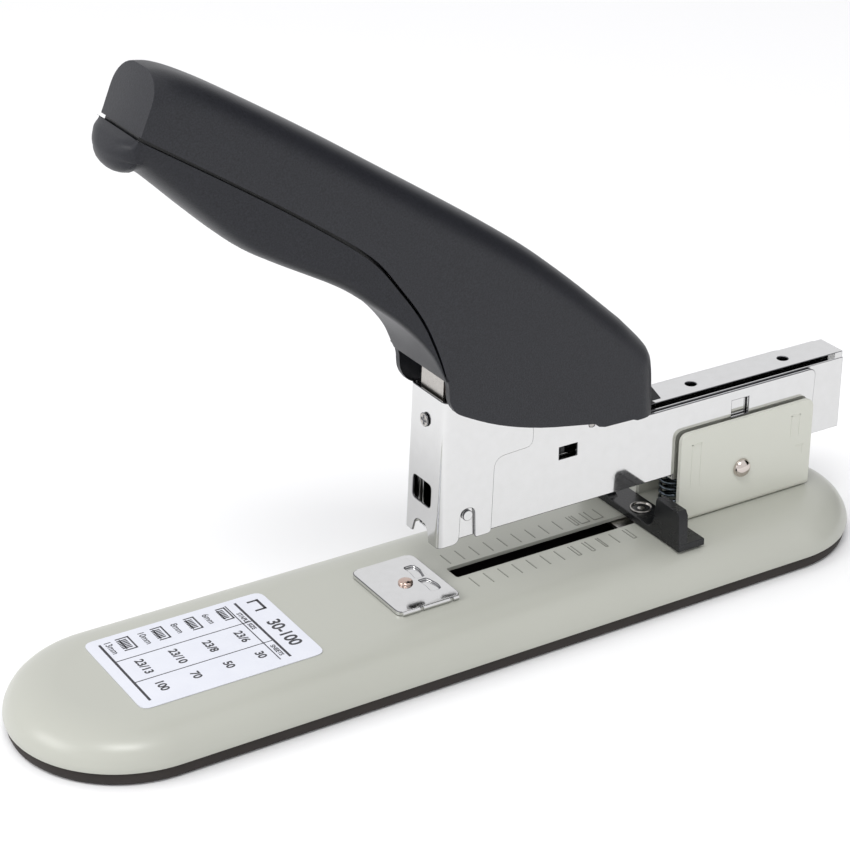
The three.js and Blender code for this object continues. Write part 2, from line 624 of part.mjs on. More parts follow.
const PUSHER_FRONT = STRIP_FRONT + STRIP_LENGTH + 0.3;
const PUSHER_LENGTH = 11;
const ROD_Z = 50.5;
const ROD_RADIUS = 1.1;
const ROD_REAR = MAGAZINE_REAR - 8;

function makePusher() {
  const low = RAIL_TOP + RUN_GAP;
  const half = COVER_HALF - RAIL_SHEET - RUN_GAP;
  const rear = PUSHER_FRONT + PUSHER_LENGTH;
  const block = box(PUSHER_FRONT, rear, -half, half, low, COVER_TOP - RAIL_SHEET - RUN_GAP);
  const noseHalf = CHANNEL_IN - RUN_GAP;
  const nose = box(PUSHER_FRONT, PUSHER_FRONT + 1.5, -noseHalf, noseHalf, low, low + 3);
  return cut(join(block, nose), bar(0, ROD_Z, PUSHER_FRONT - 1, rear + 1, ROD_RADIUS + PIN_GAP));
}

function makePusherRod() {
  const head = bar(0, ROD_Z, ROD_REAR - 0.5, ROD_REAR + 1.2, 2.2);
  return join(bar(0, ROD_Z, PUSHER_FRONT + 2, ROD_REAR, ROD_RADIUS), head);
}

function makeRodBlock() {
  const low = RAIL_TOP + SEAT_GAP;
  const half = COVER_HALF - RAIL_SHEET - SEAT_GAP;
  const block = box(ROD_REAR - 5, ROD_REAR - 0.8, -half, half, low, COVER_TOP - RAIL_SHEET - SEAT_GAP);
  return cut(block, bar(0, ROD_Z, ROD_REAR - 6, ROD_REAR + 1, ROD_RADIUS + PIN_GAP));
}

function makePusherSpring() {
  const x0 = PUSHER_FRONT + PUSHER_LENGTH + 0.6;
  const x1 = ROD_REAR - 5.6;
  return wire(new Helix(new THREE.Vector3(x0, 0, ROD_Z), 'x', PUSHER_COIL, x1 - x0, 11), 110, PUSHER_WIRE, 2);
}

// ---------------------------------------------------------------- driver
const BLADE_LOW = RAIL_TOP + 0.1 + STAPLE_WIRE + 0.4;
const HEAD_LOW = DRIVE_PIN_Z - 4.4;
const HEAD_TOP = DRIVE_PIN_Z + 4.4;

function makeDriverBlade() {
  const x0 = driverX(CASING_LOW);
  return leaningBox(x0, x0 + BLADE_THICK, -BLADE_HALF, BLADE_HALF, BLADE_LOW, HEAD_TOP);
}

// folded carrier behind the blade; the drive pin works in its level slots
function makeDriverHead() {
  const bladeBack = driverX(CASING_LOW) + BLADE_THICK + SEAT_GAP;
  const x0 = driverX(HEAD_LOW) + BLADE_THICK;
  const half = BLADE_HALF - 0.15;
  const carrier = cut(box(x0, DRIVE_PIN_X + 4.4, -half, half, HEAD_LOW, HEAD_TOP),
    leaningBox(bladeBack - 8, bladeBack, -half - 1, half + 1, HEAD_LOW - 2, HEAD_TOP + 2));
  const hollow = box(x0 + 1.8, DRIVE_PIN_X + 6, -half + 1.2, half - 1.2, HEAD_LOW - 1, HEAD_TOP + 1);
  const slotLow = DRIVE_PIN_Z - DRIVE_PIN_RADIUS - RUN_GAP;
  const slotTop = DRIVE_PIN_Z + DRIVE_PIN_RADIUS + RUN_GAP;
  const slot = sidePlate(rounded([
    [DRIVE_PIN_X - 1.6 - DRIVE_PIN_RADIUS - RUN_GAP, slotLow, 1], [DRIVE_PIN_X + 6, slotLow],
    [DRIVE_PIN_X + 6, slotTop], [DRIVE_PIN_X - 1.6 - DRIVE_PIN_RADIUS - RUN_GAP, slotTop, 1],
  ]), -half - 1, half + 1);
  return cut(carrier, hollow, slot);
}

// ---------------------------------------------------------------- handle
// Outer side view of the two shells together, as X and Z.
const topLine = [[-97.9, 169.2], [-92.6, 181.6], [-86.7, 182.6], [-62.4, 168.9], [-27.5, 146.4],
  [10.5, 120.8], [31, 105.1], [52.6, 85.9], [61.5, 76.8], [64.2, 70], [64, 56]];
const gripUnderside = [[-34.1, 110.7], [-43.1, 117.3], [-60.6, 127.2], [-70.7, 133.7], [-81.7, 143.8],
  [-91.8, 153], [-96, 157.2], [-100, 156.7], [-103, 159.8], [-102.2, 164.6]];
const chin = [[-11.8, 83.4], [-16.4, 92.9], [-24.2, 102.2]];
const skirtLine = [[57, 56.8], [39.4, 57], [38.2, 58.9], [19.5, 62.5], [5.2, 67], [-6.8, 72.8],
  [-10.9, 77.8]];
const partingLine = [[-11.2, 80], [-11.6, 83.6], [-14.4, 93.1], [-19, 103.9], [-25.6, 114], [-35.2, 125.9],
  [-54, 140], [-74.7, 154], [-97.9, 169.2]];

// The rounded body runs on past the tip, the chin and the skirt, where the outline cuts it off.
const pastTipTop = [-125, 206];
const pastTipUnder = [[-97, 149], [-132, 172]];
const SIDE_REACH = 20;            // beyond the handle's widest half width

function handleBody(wall) {
  const outline = [pastTipTop, ...topLine.slice(3, -1), [64, 40], [-26, 40], [-33, 100],
    ...gripUnderside.slice(0, 5), ...pastTipUnder];
  const geometry = new THREE.ExtrudeGeometry(polygon(outline), {
    depth: 2 * (HANDLE_HALF - HANDLE_ROUND),
    bevelThickness: HANDLE_ROUND - wall,
    bevelSize: HANDLE_ROUND - wall,
    bevelOffset: -HANDLE_ROUND,
    bevelSegments: 5,
  });
  geometry.rotateX(Math.PI / 2).translate(0, HANDLE_HALF - HANDLE_ROUND, 0);
  return toSolid(narrowTowardsTip(geometry));
}

function narrowTowardsTip(geometry) {
  const position = geometry.attributes.position;
  const tip = topLine[0][0];
  const skirt = chin[0][0];
  for (let i = 0; i < position.count; i += 1) {
    const along = THREE.MathUtils.clamp((position.getX(i) - tip) / (skirt - tip), 0, 1);
    const half = THREE.MathUtils.lerp(HANDLE_TIP_HALF, HANDLE_HALF, along);
    position.setY(i, position.getY(i) * half / HANDLE_HALF);
  }
  return geometry;
}

function handleOutside() {
  const outline = polygon([...topLine, ...skirtLine, ...chin, ...gripUnderside]);
  return handleBody(0).intersect(sidePlate(outline, -SIDE_REACH, SIDE_REACH));
}

function handleShell() {
  const endWall = sidePlate(polygon([[-140, 130], [-96, 155], [-97.5, 166], [-91.5, 177], [-100, 210],
    [-140, 210]]), -SIDE_REACH, SIDE_REACH);
  return cut(handleOutside(), handleBody(HANDLE_WALL).subtract(endWall));
}

function aboveParting(shift) {
  const line = partingLine.map(([x, z]) => [x + shift * 0.5, z + shift]).reverse();
  return sidePlate(polygon([[-140, 200], [-140, 171.5 + shift], ...line, [-11 + shift, 40],
    [120, 40], [120, 200]]), -SIDE_REACH, SIDE_REACH);
}

// Two screws pass through the lower shell into bosses of the upper one, square to the grip.
const GRIP_TILT = THREE.MathUtils.degToRad(33);
const handleScrews = [[-65, 129.9], [-84, 145.9]];
const SCREW_SEAT = 3.8;           // depth of the counterbore
const BOSS_START = 6;

function acrossGrip([x, z], from, to, radius, sides = 20) {
  const geometry = new THREE.CylinderGeometry(radius, radius, to - from, sides);
  geometry.translate(0, (from + to) / 2, 0).rotateX(Math.PI / 2).rotateY(GRIP_TILT);
  return toSolid(geometry.translate(x, 0, z));
}

function makeHandleUpper() {
  const tail = SPACER_HALF + RUN_GAP;
  const tailOpening = box(SPACER_FRONT, 80, -tail, tail, 40, SPACER_HIGH + RUN_GAP);
  const shell = handleShell().intersect(aboveParting(0));
  const reach = BOSS_START + PARTING_GAP;
  const bosses = handleScrews.map((place) => acrossGrip(place, reach, 45, 4).intersect(handleOutside()));
  const threads = handleScrews.map((place) => acrossGrip(place, 0, 17, HANDLE_SCREW + SEAT_GAP));
  return cut(join(shell, ...bosses), tailOpening, ...threads);
}

function makeHandleLower() {
  const sweep = rod(PIVOT_X, PIVOT_Z, -CASING_OUT - 1.2, CASING_OUT + 1.2, 67.5, 64);
  const collars = handleScrews.map((place) => acrossGrip(place, 0.4, BOSS_START, 4.6));
  const seats = handleScrews.map((place) => acrossGrip(place, -3, SCREW_SEAT, 3.1));
  const bores = handleScrews.map((place) => acrossGrip(place, -3, BOSS_START + 2, HANDLE_SCREW + PIN_GAP));
  const shell = cut(handleShell(), aboveParting(-PARTING_GAP), sweep);
  return cut(join(shell, ...collars), ...seats, ...bores);
}

function makeHandleScrew(place) {
  const head = acrossGrip(place, SCREW_SEAT - 1.9, SCREW_SEAT - SEAT_GAP, 2.8);
  const shank = acrossGrip(place, SCREW_SEAT - 1, 16, HANDLE_SCREW);
  const recess = acrossGrip(place, SCREW_SEAT - 2.5, SCREW_SEAT - 0.9, 1.3, 4);
  return cut(join(head, shank), recess);
}

// its front edge stays clear of the casing's face as the handle comes down
function makeLever() {
  const outline = rounded([
    [-6.6, 76, 1], [6, 72.6], [30, 64.2, 4], [PIVOT_X - 4, PIVOT_Z - 4.8, 3],
    [PIVOT_X + 4.6, PIVOT_Z - 4.8, 3], [PIVOT_X + 5.4, PIVOT_Z + 5, 3], [50, 78, 3], [30, 94.6],
    [-8, 121, 6], [-48, 145, 5], [-53, 138, 4], [-12, 104, 6], [0.6, 93.8],
  ]);
  const walls = bothSides((side) => {
    const [y0, y1] = side > 0 ? [LEVER_IN, LEVER_OUT] : [-LEVER_OUT, -LEVER_IN];
    return sidePlate(outline, y0, y1, 3);
  });
  // web along the top edge between the two walls
  const web = sidePlate(polygon([[30, 94.4], [-8, 120.5], [-45, 142.8], [-45.8, 141.5], [-8.8, 119.2],
    [29.2, 93.2]]), -LEVER_OUT, LEVER_OUT);
  return cut(join(...walls, web), rod(PIVOT_X, PIVOT_Z, -20, 20, PIVOT_RADIUS + PIN_GAP),
    rod(DRIVE_PIN_X, DRIVE_PIN_Z, -20, 20, DRIVE_PIN_RADIUS + SEAT_GAP));
}

function makeDrivePin() {
  return rod(DRIVE_PIN_X, DRIVE_PIN_Z, -LEVER_OUT, LEVER_OUT, DRIVE_PIN_RADIUS);
}

// plug between the lever's walls; its tail shows through the opening in the back of the upper shell
const SPACER_FRONT = PIVOT_X + 5;
const SPACER_LOW = COVER_TOP + 1.2;
const SPACER_HIGH = SPACER_LOW + 12;
const SPACER_HALF = LEVER_IN - 0.4;

function makeRearSpacer() {
  return sidePlate(polygon([[SPACER_FRONT, SPACER_LOW + 4], [SPACER_FRONT + 2.6, SPACER_LOW],
    [66, SPACER_LOW], [63.2, SPACER_LOW + 6.8], [62, SPACER_HIGH], [SPACER_FRONT, SPACER_HIGH]]),
  -SPACER_HALF, SPACER_HALF);
}

function makeReturnSpring() {
  const coilHalf = LEVER_IN - 0.9;
  const radius = PIVOT_RADIUS + PIN_GAP + RETURN_WIRE + 0.3;
  const start = new THREE.Vector3(PIVOT_X, -coilHalf, PIVOT_Z);
  return wire(new Helix(start, 'y', radius, 2 * coilHalf, 6), 84, RETURN_WIRE, 3);
}

// ---------------------------------------------------------------- naming and colours
addPaint('base_shell', makeBaseShell());
add('base_pad', makeBasePad(), 0x221f1d, 0.8, 0);
add('capacity_label', makeLabel(), 0xdfe4ea, 0.35, 0);
addNickel('anvil_plate', makeAnvilPlate());
addNickel('anvil_rivet', makeAnvilRivet());
addPaint('rear_bracket', makeBracket());
bracketRivets.forEach(([x, y], i) => addSteel(`bracket_rivet_${i + 1}`, makeBracketRivet(x, y)));
addNickel('hinge_rivet', makeHingeRivet());
addSteel('hinge_washer_near', makeHingeWasher(-1));
addSteel('hinge_washer_far', makeHingeWasher(1));
addSpringSteel('lift_spring', makeLiftSpring());
addBlackPlastic('paper_guide', makePaperGuide());
addNickel('guide_eyelet', makeGuideEyelet());
addSteel('guide_slider', makeGuideSlider());
addNickel('arm_frame', makeArmFrame());
addNickel('front_casing', makeFrontCasing());
addSteel('casing_screw', makeCasingScrew());
addNickel('casing_stud_near', makeCasingStud(-1));
addNickel('casing_stud_far', makeCasingStud(1));
addSteel('handle_pivot_pin', makePivotPin());
addSteel('spring_bar', makeSpringBar());
addNickel('magazine_channel', makeChannel());
addNickel('staple_rail', makeStapleRail());
addNickel('magazine_cover', makeMagazineCover());
addNickel('staple_strip', makeStapleStrip());
addBlackPlastic('staple_pusher', makePusher());
addSteel('pusher_rod', makePusherRod());
addBlackPlastic('rod_block', makeRodBlock());
addSpringSteel('pusher_spring', makePusherSpring());
addSteel('driver_blade', makeDriverBlade());
addSteel('driver_head', makeDriverHead());
addBlackPlastic('handle_upper', makeHandleUpper());
addBlackPlastic('handle_lower', makeHandleLower());
addNickel('handle_lever', makeLever());
addSteel('drive_pin', makeDrivePin());
addBlackPlastic('rear_spacer', makeRearSpacer());
addSpringSteel('return_spring', makeReturnSpring());
handleScrews.forEach((place, i) => addSteel(`handle_screw_${i + 1}`, makeHandleScrew(place)));

stapler.position.x = -BASE_CENTRE_X;

export default stapler;
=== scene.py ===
import math

import bmesh
import bpy
from mathutils import Matrix, Vector


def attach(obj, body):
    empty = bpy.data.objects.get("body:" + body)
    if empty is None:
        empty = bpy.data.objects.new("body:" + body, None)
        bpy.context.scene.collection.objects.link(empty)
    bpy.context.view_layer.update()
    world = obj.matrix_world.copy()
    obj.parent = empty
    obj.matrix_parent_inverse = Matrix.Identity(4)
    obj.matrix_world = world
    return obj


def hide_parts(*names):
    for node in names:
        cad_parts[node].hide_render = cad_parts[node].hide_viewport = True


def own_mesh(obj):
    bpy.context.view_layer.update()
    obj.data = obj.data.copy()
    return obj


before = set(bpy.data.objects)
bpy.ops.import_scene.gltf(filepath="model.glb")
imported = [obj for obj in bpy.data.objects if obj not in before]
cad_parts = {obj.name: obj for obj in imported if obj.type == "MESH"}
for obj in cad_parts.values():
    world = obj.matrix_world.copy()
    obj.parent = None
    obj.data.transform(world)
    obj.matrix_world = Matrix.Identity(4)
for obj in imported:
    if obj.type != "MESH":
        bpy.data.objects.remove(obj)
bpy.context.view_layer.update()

# ---- camera ----------------------------------------------------------------------------------
# A short telephoto on a stand: level, turned towards the hinge end and tipped down onto the base.
MM = 0.001
camera_data = bpy.data.cameras.new("camera")
camera_data.sensor_width = 36
camera_data.lens = 99.76
camera_data.shift_x = 0.00515
camera_data.shift_y = -0.02562
camera_data.clip_start = 0.01
camera = bpy.data.objects.new("camera", camera_data)
camera.location = (-322.04 * MM, -506.73 * MM, 356.51 * MM)
CAMERA_PITCH, CAMERA_YAW = 0.44630, 0.54942
camera.rotation_euler = (math.pi / 2 - CAMERA_PITCH, 0, -CAMERA_YAW)
bpy.context.collection.objects.link(camera)
bpy.context.scene.camera = camera
bpy.context.scene.view_settings.view_transform = "Standard"

# ---- studio ----------------------------------------------------------------------------------
# A white table in a white tent. One side of the tent is open and dark, which draws the dark band
# along rounded plastic, and a softbox overhead draws the highlight on the base's shoulder.
def srgb(code):
    """The linear colour of an sRGB hex code."""
    parts = [int(code[i:i + 2], 16) / 255 for i in (1, 3, 5)]
    return [p / 12.92 if p <= 0.04045 else ((p + 0.055) / 1.055) ** 2.4 for p in parts] + [1]


def add_node(tree, kind, inputs=(), **settings):
    """A node with its settings; inputs are pairs of a socket and a value or the socket it comes from."""
    made = tree.nodes.new(kind)
    for name, value in settings.items():
        setattr(made, name, value)
    for name, value in inputs:
        if isinstance(value, bpy.types.NodeSocket):
            tree.links.new(value, made.inputs[name])
        else:
            made.inputs[name].default_value = value
    return made


tent = bpy.data.worlds.new("white_tent")
tent.use_nodes = True
tree = tent.node_tree
toward = add_node(tree, "ShaderNodeTexCoord").outputs["Generated"]
DARK_SIDE = Vector((1, -0.05, 0.22)).normalized()
facing_dark = add_node(tree, "ShaderNodeVectorMath", [(0, toward), (1, DARK_SIDE)], operation="DOT_PRODUCT")
brightness = add_node(tree, "ShaderNodeMapRange", [
    ("Value", facing_dark.outputs["Value"]), ("From Min", 0.74), ("From Max", 0.92),
    ("To Min", 0.96), ("To Max", 0.0)], interpolation_type="SMOOTHSTEP")
tree.links.new(brightness.outputs["Result"], tree.nodes["Background"].inputs["Strength"])
tree.nodes["Background"].inputs["Color"].default_value = srgb("#fdfdff")
bpy.context.scene.world = tent


def softbox(name, place, aim, size, power):
    """A rectangular lamp at place, turned to face aim."""
    lamp = bpy.data.lights.new(name, "AREA")
    lamp.shape = "RECTANGLE"
    lamp.size, lamp.size_y = size
    lamp.energy = power
    box = bpy.data.objects.new(name, lamp)
    box.location = place
    box.rotation_euler = (Vector(aim) - Vector(place)).to_track_quat("-Z", "Y").to_euler()
    bpy.context.collection.objects.link(box)


softbox("softbox_overhead", (-0.45, -0.55, 1.25), (0, 0, 0.02), (0.55, 0.4), 7)
softbox("softbox_left", (-1.3, 0.3, 0.8), (0, 0, 0.08), (0.8, 0.6), 6)

table = bpy.data.materials.new("white_table_laminate")
table.use_nodes = True
shader = table.node_tree.nodes["Principled BSDF"]
shader.inputs["Base Color"].default_value = srgb("#f6f6f6")
shader.inputs["Roughness"].default_value = 0.85
shader.inputs["Specular IOR Level"].default_value = 0.1
TABLE_HALF = 4.0
bm = bmesh.new()
bmesh.ops.create_grid(bm, x_segments=1, y_segments=1, size=TABLE_HALF)
floor_mesh = bpy.data.meshes.new("floor")
bm.to_mesh(floor_mesh)
bm.free()
floor_mesh.materials.append(table)
floor = bpy.data.objects.new("floor", floor_mesh)
bpy.context.collection.objects.link(floor)

# ---- base shell ------------------------------------------------------------------------------
# The long oval base cover: 1.1 mm sheet steel pressed with a wide soft shoulder, then stove-enamelled
# putty grey. A slot for the paper guide is punched in the top, with a stamped scale on both sides.
BASE_X = 139.5
BASE_HALF = 34.0
BASE_TOP = 14.5
BASE_SHEET = 1.1
SLOT_FRONT, SLOT_REAR, SLOT_HALF, SLOT_CORNER = -1.2, 72.0, 3.1, 0.8


def new_finish(name):
    """A new material, its node tree, its shader and the object's own coordinates in metres."""
    material = bpy.data.materials.new(name)
    material.use_nodes = True
    nodes = material.node_tree
    own = add_node(nodes, "ShaderNodeTexCoord").outputs["Object"]
    return material, nodes, nodes.nodes["Principled BSDF"], own


enamel, tree, shader, where = new_finish("stove_enamel_putty")
# orange peel: shallow waves about 1.3 mm across, and broad 45 mm drifts in the tone
peel = add_node(tree, "ShaderNodeTexNoise", [("Vector", where), ("Scale", 1 / 1.3 / MM), ("Detail", 2)])
drift = add_node(tree, "ShaderNodeTexNoise", [("Vector", where), ("Scale", 1 / 45 / MM), ("Detail", 1)])
# (sockets 6 and 7 of a Mix node are its two colours)
tone = add_node(tree, "ShaderNodeMix", [
    ("Factor", drift.outputs["Fac"]), (6, srgb("#aaaba2")), (7, srgb("#b1b2a9"))], data_type="RGBA")
gloss = add_node(tree, "ShaderNodeMapRange", [
    ("Value", peel.outputs["Fac"]), ("To Min", 0.27), ("To Max", 0.33)])
relief = add_node(tree, "ShaderNodeBump", [
    ("Height", peel.outputs["Fac"]), ("Strength", 0.05), ("Distance", 0.1 * MM)])
tree.links.new(tone.outputs[2], shader.inputs["Base Color"])
tree.links.new(gloss.outputs["Result"], shader.inputs["Roughness"])
tree.links.new(relief.outputs["Normal"], shader.inputs["Normal"])


def place_piece(name, bm, material, body, slot, *nodes, smooth=32):
    """Makes an object of bm, shaded smooth up to that many degrees, that rides on body."""
    mesh = bpy.data.meshes.new(name)
    bm.edges.index_update()
    open_edges = [e.index for e in bm.edges if e.is_boundary]
    bm.to_mesh(mesh)
    bm.free()
    mesh.shade_smooth()
    mesh.set_sharp_from_angle(angle=math.radians(smooth))
    for index in open_edges:
        mesh.edges[index].use_edge_sharp = True
    mesh.materials.append(material)
    piece = bpy.data.objects.new(name, mesh)
    bpy.context.collection.objects.link(piece)
    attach(piece, body)
    if nodes:
        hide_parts(*nodes)
    return piece


def oval_wall(bm, profile, half_length, half_width):
    """The wall of an oval: a profile of (inset from the rim, height) swept round both ends and sides."""
    centre = half_length - half_width
    verts = [bm.verts.new((centre * MM, -(half_width - inset) * MM, z * MM)) for inset, z in profile]
    row = [bm.edges.new(pair) for pair in zip(verts, verts[1:])]
    start = verts + row
    for side in (1, -1):
        swept = bmesh.ops.spin(bm, geom=start, cent=(side * centre * MM, 0, 0), axis=(0, 0, 1),
                               angle=math.pi, steps=64)["geom_last"]
        edges = [g for g in swept if isinstance(g, bmesh.types.BMEdge)]
        slid = bmesh.ops.extrude_edge_only(bm, edges=edges)["geom"]
        moved = [g for g in slid if isinstance(g, bmesh.types.BMVert)]
        bmesh.ops.translate(bm, verts=moved, vec=(-side * 2 * centre * MM, 0, 0))
        start = [g for g in slid if not isinstance(g, bmesh.types.BMFace)]
    bmesh.ops.remove_doubles(bm, verts=bm.verts, dist=0.01 * MM)


def rounded_loop(bm, x0, x1, y0, y1, z, radius):
    """The edges of a rectangle with rounded corners at height z."""
    face = bm.faces.new([bm.verts.new((x * MM, y * MM, z * MM))
                         for x, y in ((x0, y0), (x1, y0), (x1, y1), (x0, y1))])
    bmesh.ops.bevel(bm, geom=list(face.verts), offset=radius * MM, offset_type="OFFSET", affect="VERTICES",
                    segments=5, profile=0.5, material=-1, clamp_overlap=False)
    # the bevel may leave another face in its place, so it is found again by its middle
    middle = Vector(((x0 + x1) / 2, (y0 + y1) / 2, z)) * MM
    rounded = min(bm.faces, key=lambda f: (f.calc_center_median() - middle).length)
    edges = list(rounded.edges)
    bmesh.ops.delete(bm, geom=[rounded], context="FACES_ONLY")
    return edges


# (inset from the rim, height), from the skirt's foot up to the flat top
SHOULDER = [(0.15, 4.6), (0, 5.4), (0.25, 6.8), (0.9, 8.4), (1.9, 10.0), (3.2, 11.3), (4.9, 12.4),
            (6.9, 13.25), (9.1, 13.87), (11.3, 14.25), (13.2, 14.44), (14.4, BASE_TOP), (15.2, BASE_TOP)]


def open_rim(bm, z):
    """The open edges of bm that lie at height z."""
    return [e for e in bm.edges if e.is_boundary and all(abs(v.co.z - z * MM) < 0.001 * MM for v in e.verts)]


bm = bmesh.new()
oval_wall(bm, SHOULDER, BASE_X, BASE_HALF)
rim = open_rim(bm, BASE_TOP)
slot_edges = rounded_loop(bm, SLOT_FRONT, SLOT_REAR, -SLOT_HALF, SLOT_HALF, BASE_TOP, SLOT_CORNER)
bmesh.ops.triangle_fill(bm, use_beauty=True, use_dissolve=False, edges=rim + slot_edges)
inside_slot = [f for f in bm.faces if abs(f.calc_center_median().y) < SLOT_HALF * MM
               and SLOT_FRONT * MM < f.calc_center_median().x < SLOT_REAR * MM]
bmesh.ops.delete(bm, geom=inside_slot, context="FACES_ONLY")
bmesh.ops.recalc_face_normals(bm, faces=bm.faces)
# an open shell may be recalculated inside out, so its highest face is made to look up
if max(bm.faces, key=lambda f: f.calc_center_median().z).normal.z < 0:
    bmesh.ops.reverse_faces(bm, faces=bm.faces)
base_cover = place_piece("base_cover", bm, enamel, "base", "putty_paint", "base_shell", smooth=40)
wall = base_cover.modifiers.new("sheet", "SOLIDIFY")
wall.thickness = BASE_SHEET * MM
wall.offset = -1

LINE, RELIEF, SUNK, TAPER = 0.46, 0.14, 0.1, 0.1
SCALE_START, SCALE_STEP, SCALE_NEAR, SCALE_FAR = 1.65, 5, 4.85, 10.8


def stamp(bm, x0, x1, y0, y1):
    """One stamped line: a low bar with sloping sides, its foot sunk a little into the sheet."""
    for v in bmesh.ops.create_cube(bm, size=1)["verts"]:
        taper, height = (TAPER, RELIEF) if v.co.z > 0 else (0, -SUNK)
        v.co = Vector(((x0 + x1) / 2 + math.copysign((x1 - x0) / 2 - taper, v.co.x),
                       (y0 + y1) / 2 + math.copysign((y1 - y0) / 2 - taper, v.co.y), BASE_TOP + height)) * MM


def scale_line(bm, x, side):
    """A line across the scale at x."""
    near, far = sorted((side * SCALE_NEAR, side * SCALE_FAR))
    stamp(bm, x - LINE / 2, x + LINE / 2, near, far)


# the scale: one line each 5 mm on both sides of the slot, and a second line closes some into loops
bm = bmesh.new()
for k in range(12):
    for side in (-1, 1):
        scale_line(bm, SCALE_START + SCALE_STEP * k, side)
# (line's number, side of the slot, width of the loop, where it is closed)
LOOPS = [(7, -1, 1.1, SCALE_FAR), (8, -1, 1.1, SCALE_FAR), (9, -1, 0.7, SCALE_FAR), (11, -1, 1.2, SCALE_FAR),
         (9, 1, 1.1, SCALE_NEAR), (10, 1, -3.0, SCALE_NEAR), (11, 1, -3.4, SCALE_NEAR)]
for k, side, width, closed in LOOPS:
    x = SCALE_START + SCALE_STEP * k
    scale_line(bm, x + width, side)
    low, high = sorted((x, x + width))
    stamp(bm, low, high, side * closed - LINE / 2, side * closed + LINE / 2)


def recoloured(material, name, dark_end, light_end):
    """A copy of a material with its two colours changed."""
    other = material.copy()
    other.name = name
    other.node_tree.nodes["Mix"].inputs[6].default_value = srgb(dark_end)
    other.node_tree.nodes["Mix"].inputs[7].default_value = srgb(light_end)
    return other


# the stamped lines are drawn darker than the top: painted shade that stands for the shadow along each pressed
# line
scale_enamel_painted_shade = recoloured(enamel, "stove_enamel_painted_shade_on_the_scale", "#7b7c74", "#84857d")
place_piece("base_scale", bm, scale_enamel_painted_shade, "base", "putty_paint")

# ---- base pad --------------------------------------------------------------------------------
# The non-slip foot: one moulding of dark brown-black rubber, pressed up into the rim of the cover.
rubber, tree, shader, where = new_finish("moulded_rubber_black")
# a fine 0.5 mm moulding grain and dusty patches about 12 mm across
grain = add_node(tree, "ShaderNodeTexNoise", [("Vector", where), ("Scale", 1 / 0.5 / MM), ("Detail", 3)])
dust = add_node(tree, "ShaderNodeTexNoise", [("Vector", where), ("Scale", 1 / 12 / MM), ("Detail", 4)])
tone = add_node(tree, "ShaderNodeMix", [
    ("Factor", dust.outputs["Fac"]), (6, srgb("#262220")), (7, srgb("#332e2b"))], data_type="RGBA")
relief = add_node(tree, "ShaderNodeBump", [
    ("Height", grain.outputs["Fac"]), ("Strength", 0.2), ("Distance", 0.1 * MM)])
tree.links.new(tone.outputs[2], shader.inputs["Base Color"])
tree.links.new(relief.outputs["Normal"], shader.inputs["Normal"])
shader.inputs["Roughness"].default_value = 0.7
shader.inputs["Specular IOR Level"].default_value = 0.3

PAD_INSET, PAD_FLOOR = 0.75, 3.2
# (inset from the pad's own rim, height), from the underside round the rim to the floor inside
PAD_PROFILE = [(6.25, 0.0), (2.15, 0.0), (1.15, 0.25), (0.45, 0.9), (0.05, 2.0), (0, 3.4), (0.15, 4.55),
               (1.0, 4.7), (1.05, 6.0), (3.45, 6.0), (3.65, PAD_FLOOR)]
bm = bmesh.new()
oval_wall(bm, PAD_PROFILE, BASE_X - PAD_INSET, BASE_HALF - PAD_INSET)
for height in (0.0, PAD_FLOOR):
    bmesh.ops.edgeloop_fill(bm, edges=open_rim(bm, height))
bmesh.ops.recalc_face_normals(bm, faces=bm.faces)
place_piece("foot_pad", bm, rubber, "base", "base_rubber", "base_pad", smooth=45)

# ---- capacity label --------------------------------------------------------------------------
# A glossy film label with rounded corners near the front. Its printed table gives each staple's leg,
# its size and how many sheets it holds, read from the operator's side with its head to the rear.
film, tree, shader, where = new_finish("polyester_label_film")
# the film lies over the enamel with waves about 6 mm across
waves = add_node(tree, "ShaderNodeTexNoise", [("Vector", where), ("Scale", 1 / 6 / MM), ("Detail", 2)])
tone = add_node(tree, "ShaderNodeMix", [
    ("Factor", waves.outputs["Fac"]), (6, srgb("#d2d4dd")), (7, srgb("#dadce3"))], data_type="RGBA")
relief = add_node(tree, "ShaderNodeBump", [
    ("Height", waves.outputs["Fac"]), ("Strength", 0.05), ("Distance", 0.2 * MM)])
tree.links.new(tone.outputs[2], shader.inputs["Base Color"])
tree.links.new(relief.outputs["Normal"], shader.inputs["Normal"])
shader.inputs["Roughness"].default_value = 0.3

ink, tree, shader, where = new_finish("screen_ink_black")
# screen printing leaves pinholes about 0.25 mm apart that let a little of the film through
pinholes = add_node(tree, "ShaderNodeTexNoise", [("Vector", where), ("Scale", 1 / 0.25 / MM), ("Detail", 1)])
tone = add_node(tree, "ShaderNodeMix", [
    ("Factor", pinholes.outputs["Fac"]), (6, srgb("#17171a")), (7, srgb("#34343a"))], data_type="RGBA")
tree.links.new(tone.outputs[2], shader.inputs["Base Color"])
shader.inputs["Roughness"].default_value = 0.45

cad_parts["capacity_label"].material_slots[0].material = film

# The table's own directions: u runs across it from its left edge, v up it from its foot.
LABEL_LOW_X = -109.8
LABEL_LEFT_Y = 19.4
INK_Z = 14.76


def printed_bar(bm, u0, u1, v0, v1):
    """A solid printed rectangle, as thick as the ink."""
    block = bmesh.ops.create_cube(bm, size=1)["verts"]
    bmesh.ops.scale(bm, vec=((v1 - v0) * MM, (u1 - u0) * MM, 0.02 * MM), verts=block)
    bmesh.ops.translate(bm, verts=block, vec=((LABEL_LOW_X + (v0 + v1) / 2) * MM,
                                              (LABEL_LEFT_Y - (u0 + u1) / 2) * MM, INK_Z * MM))


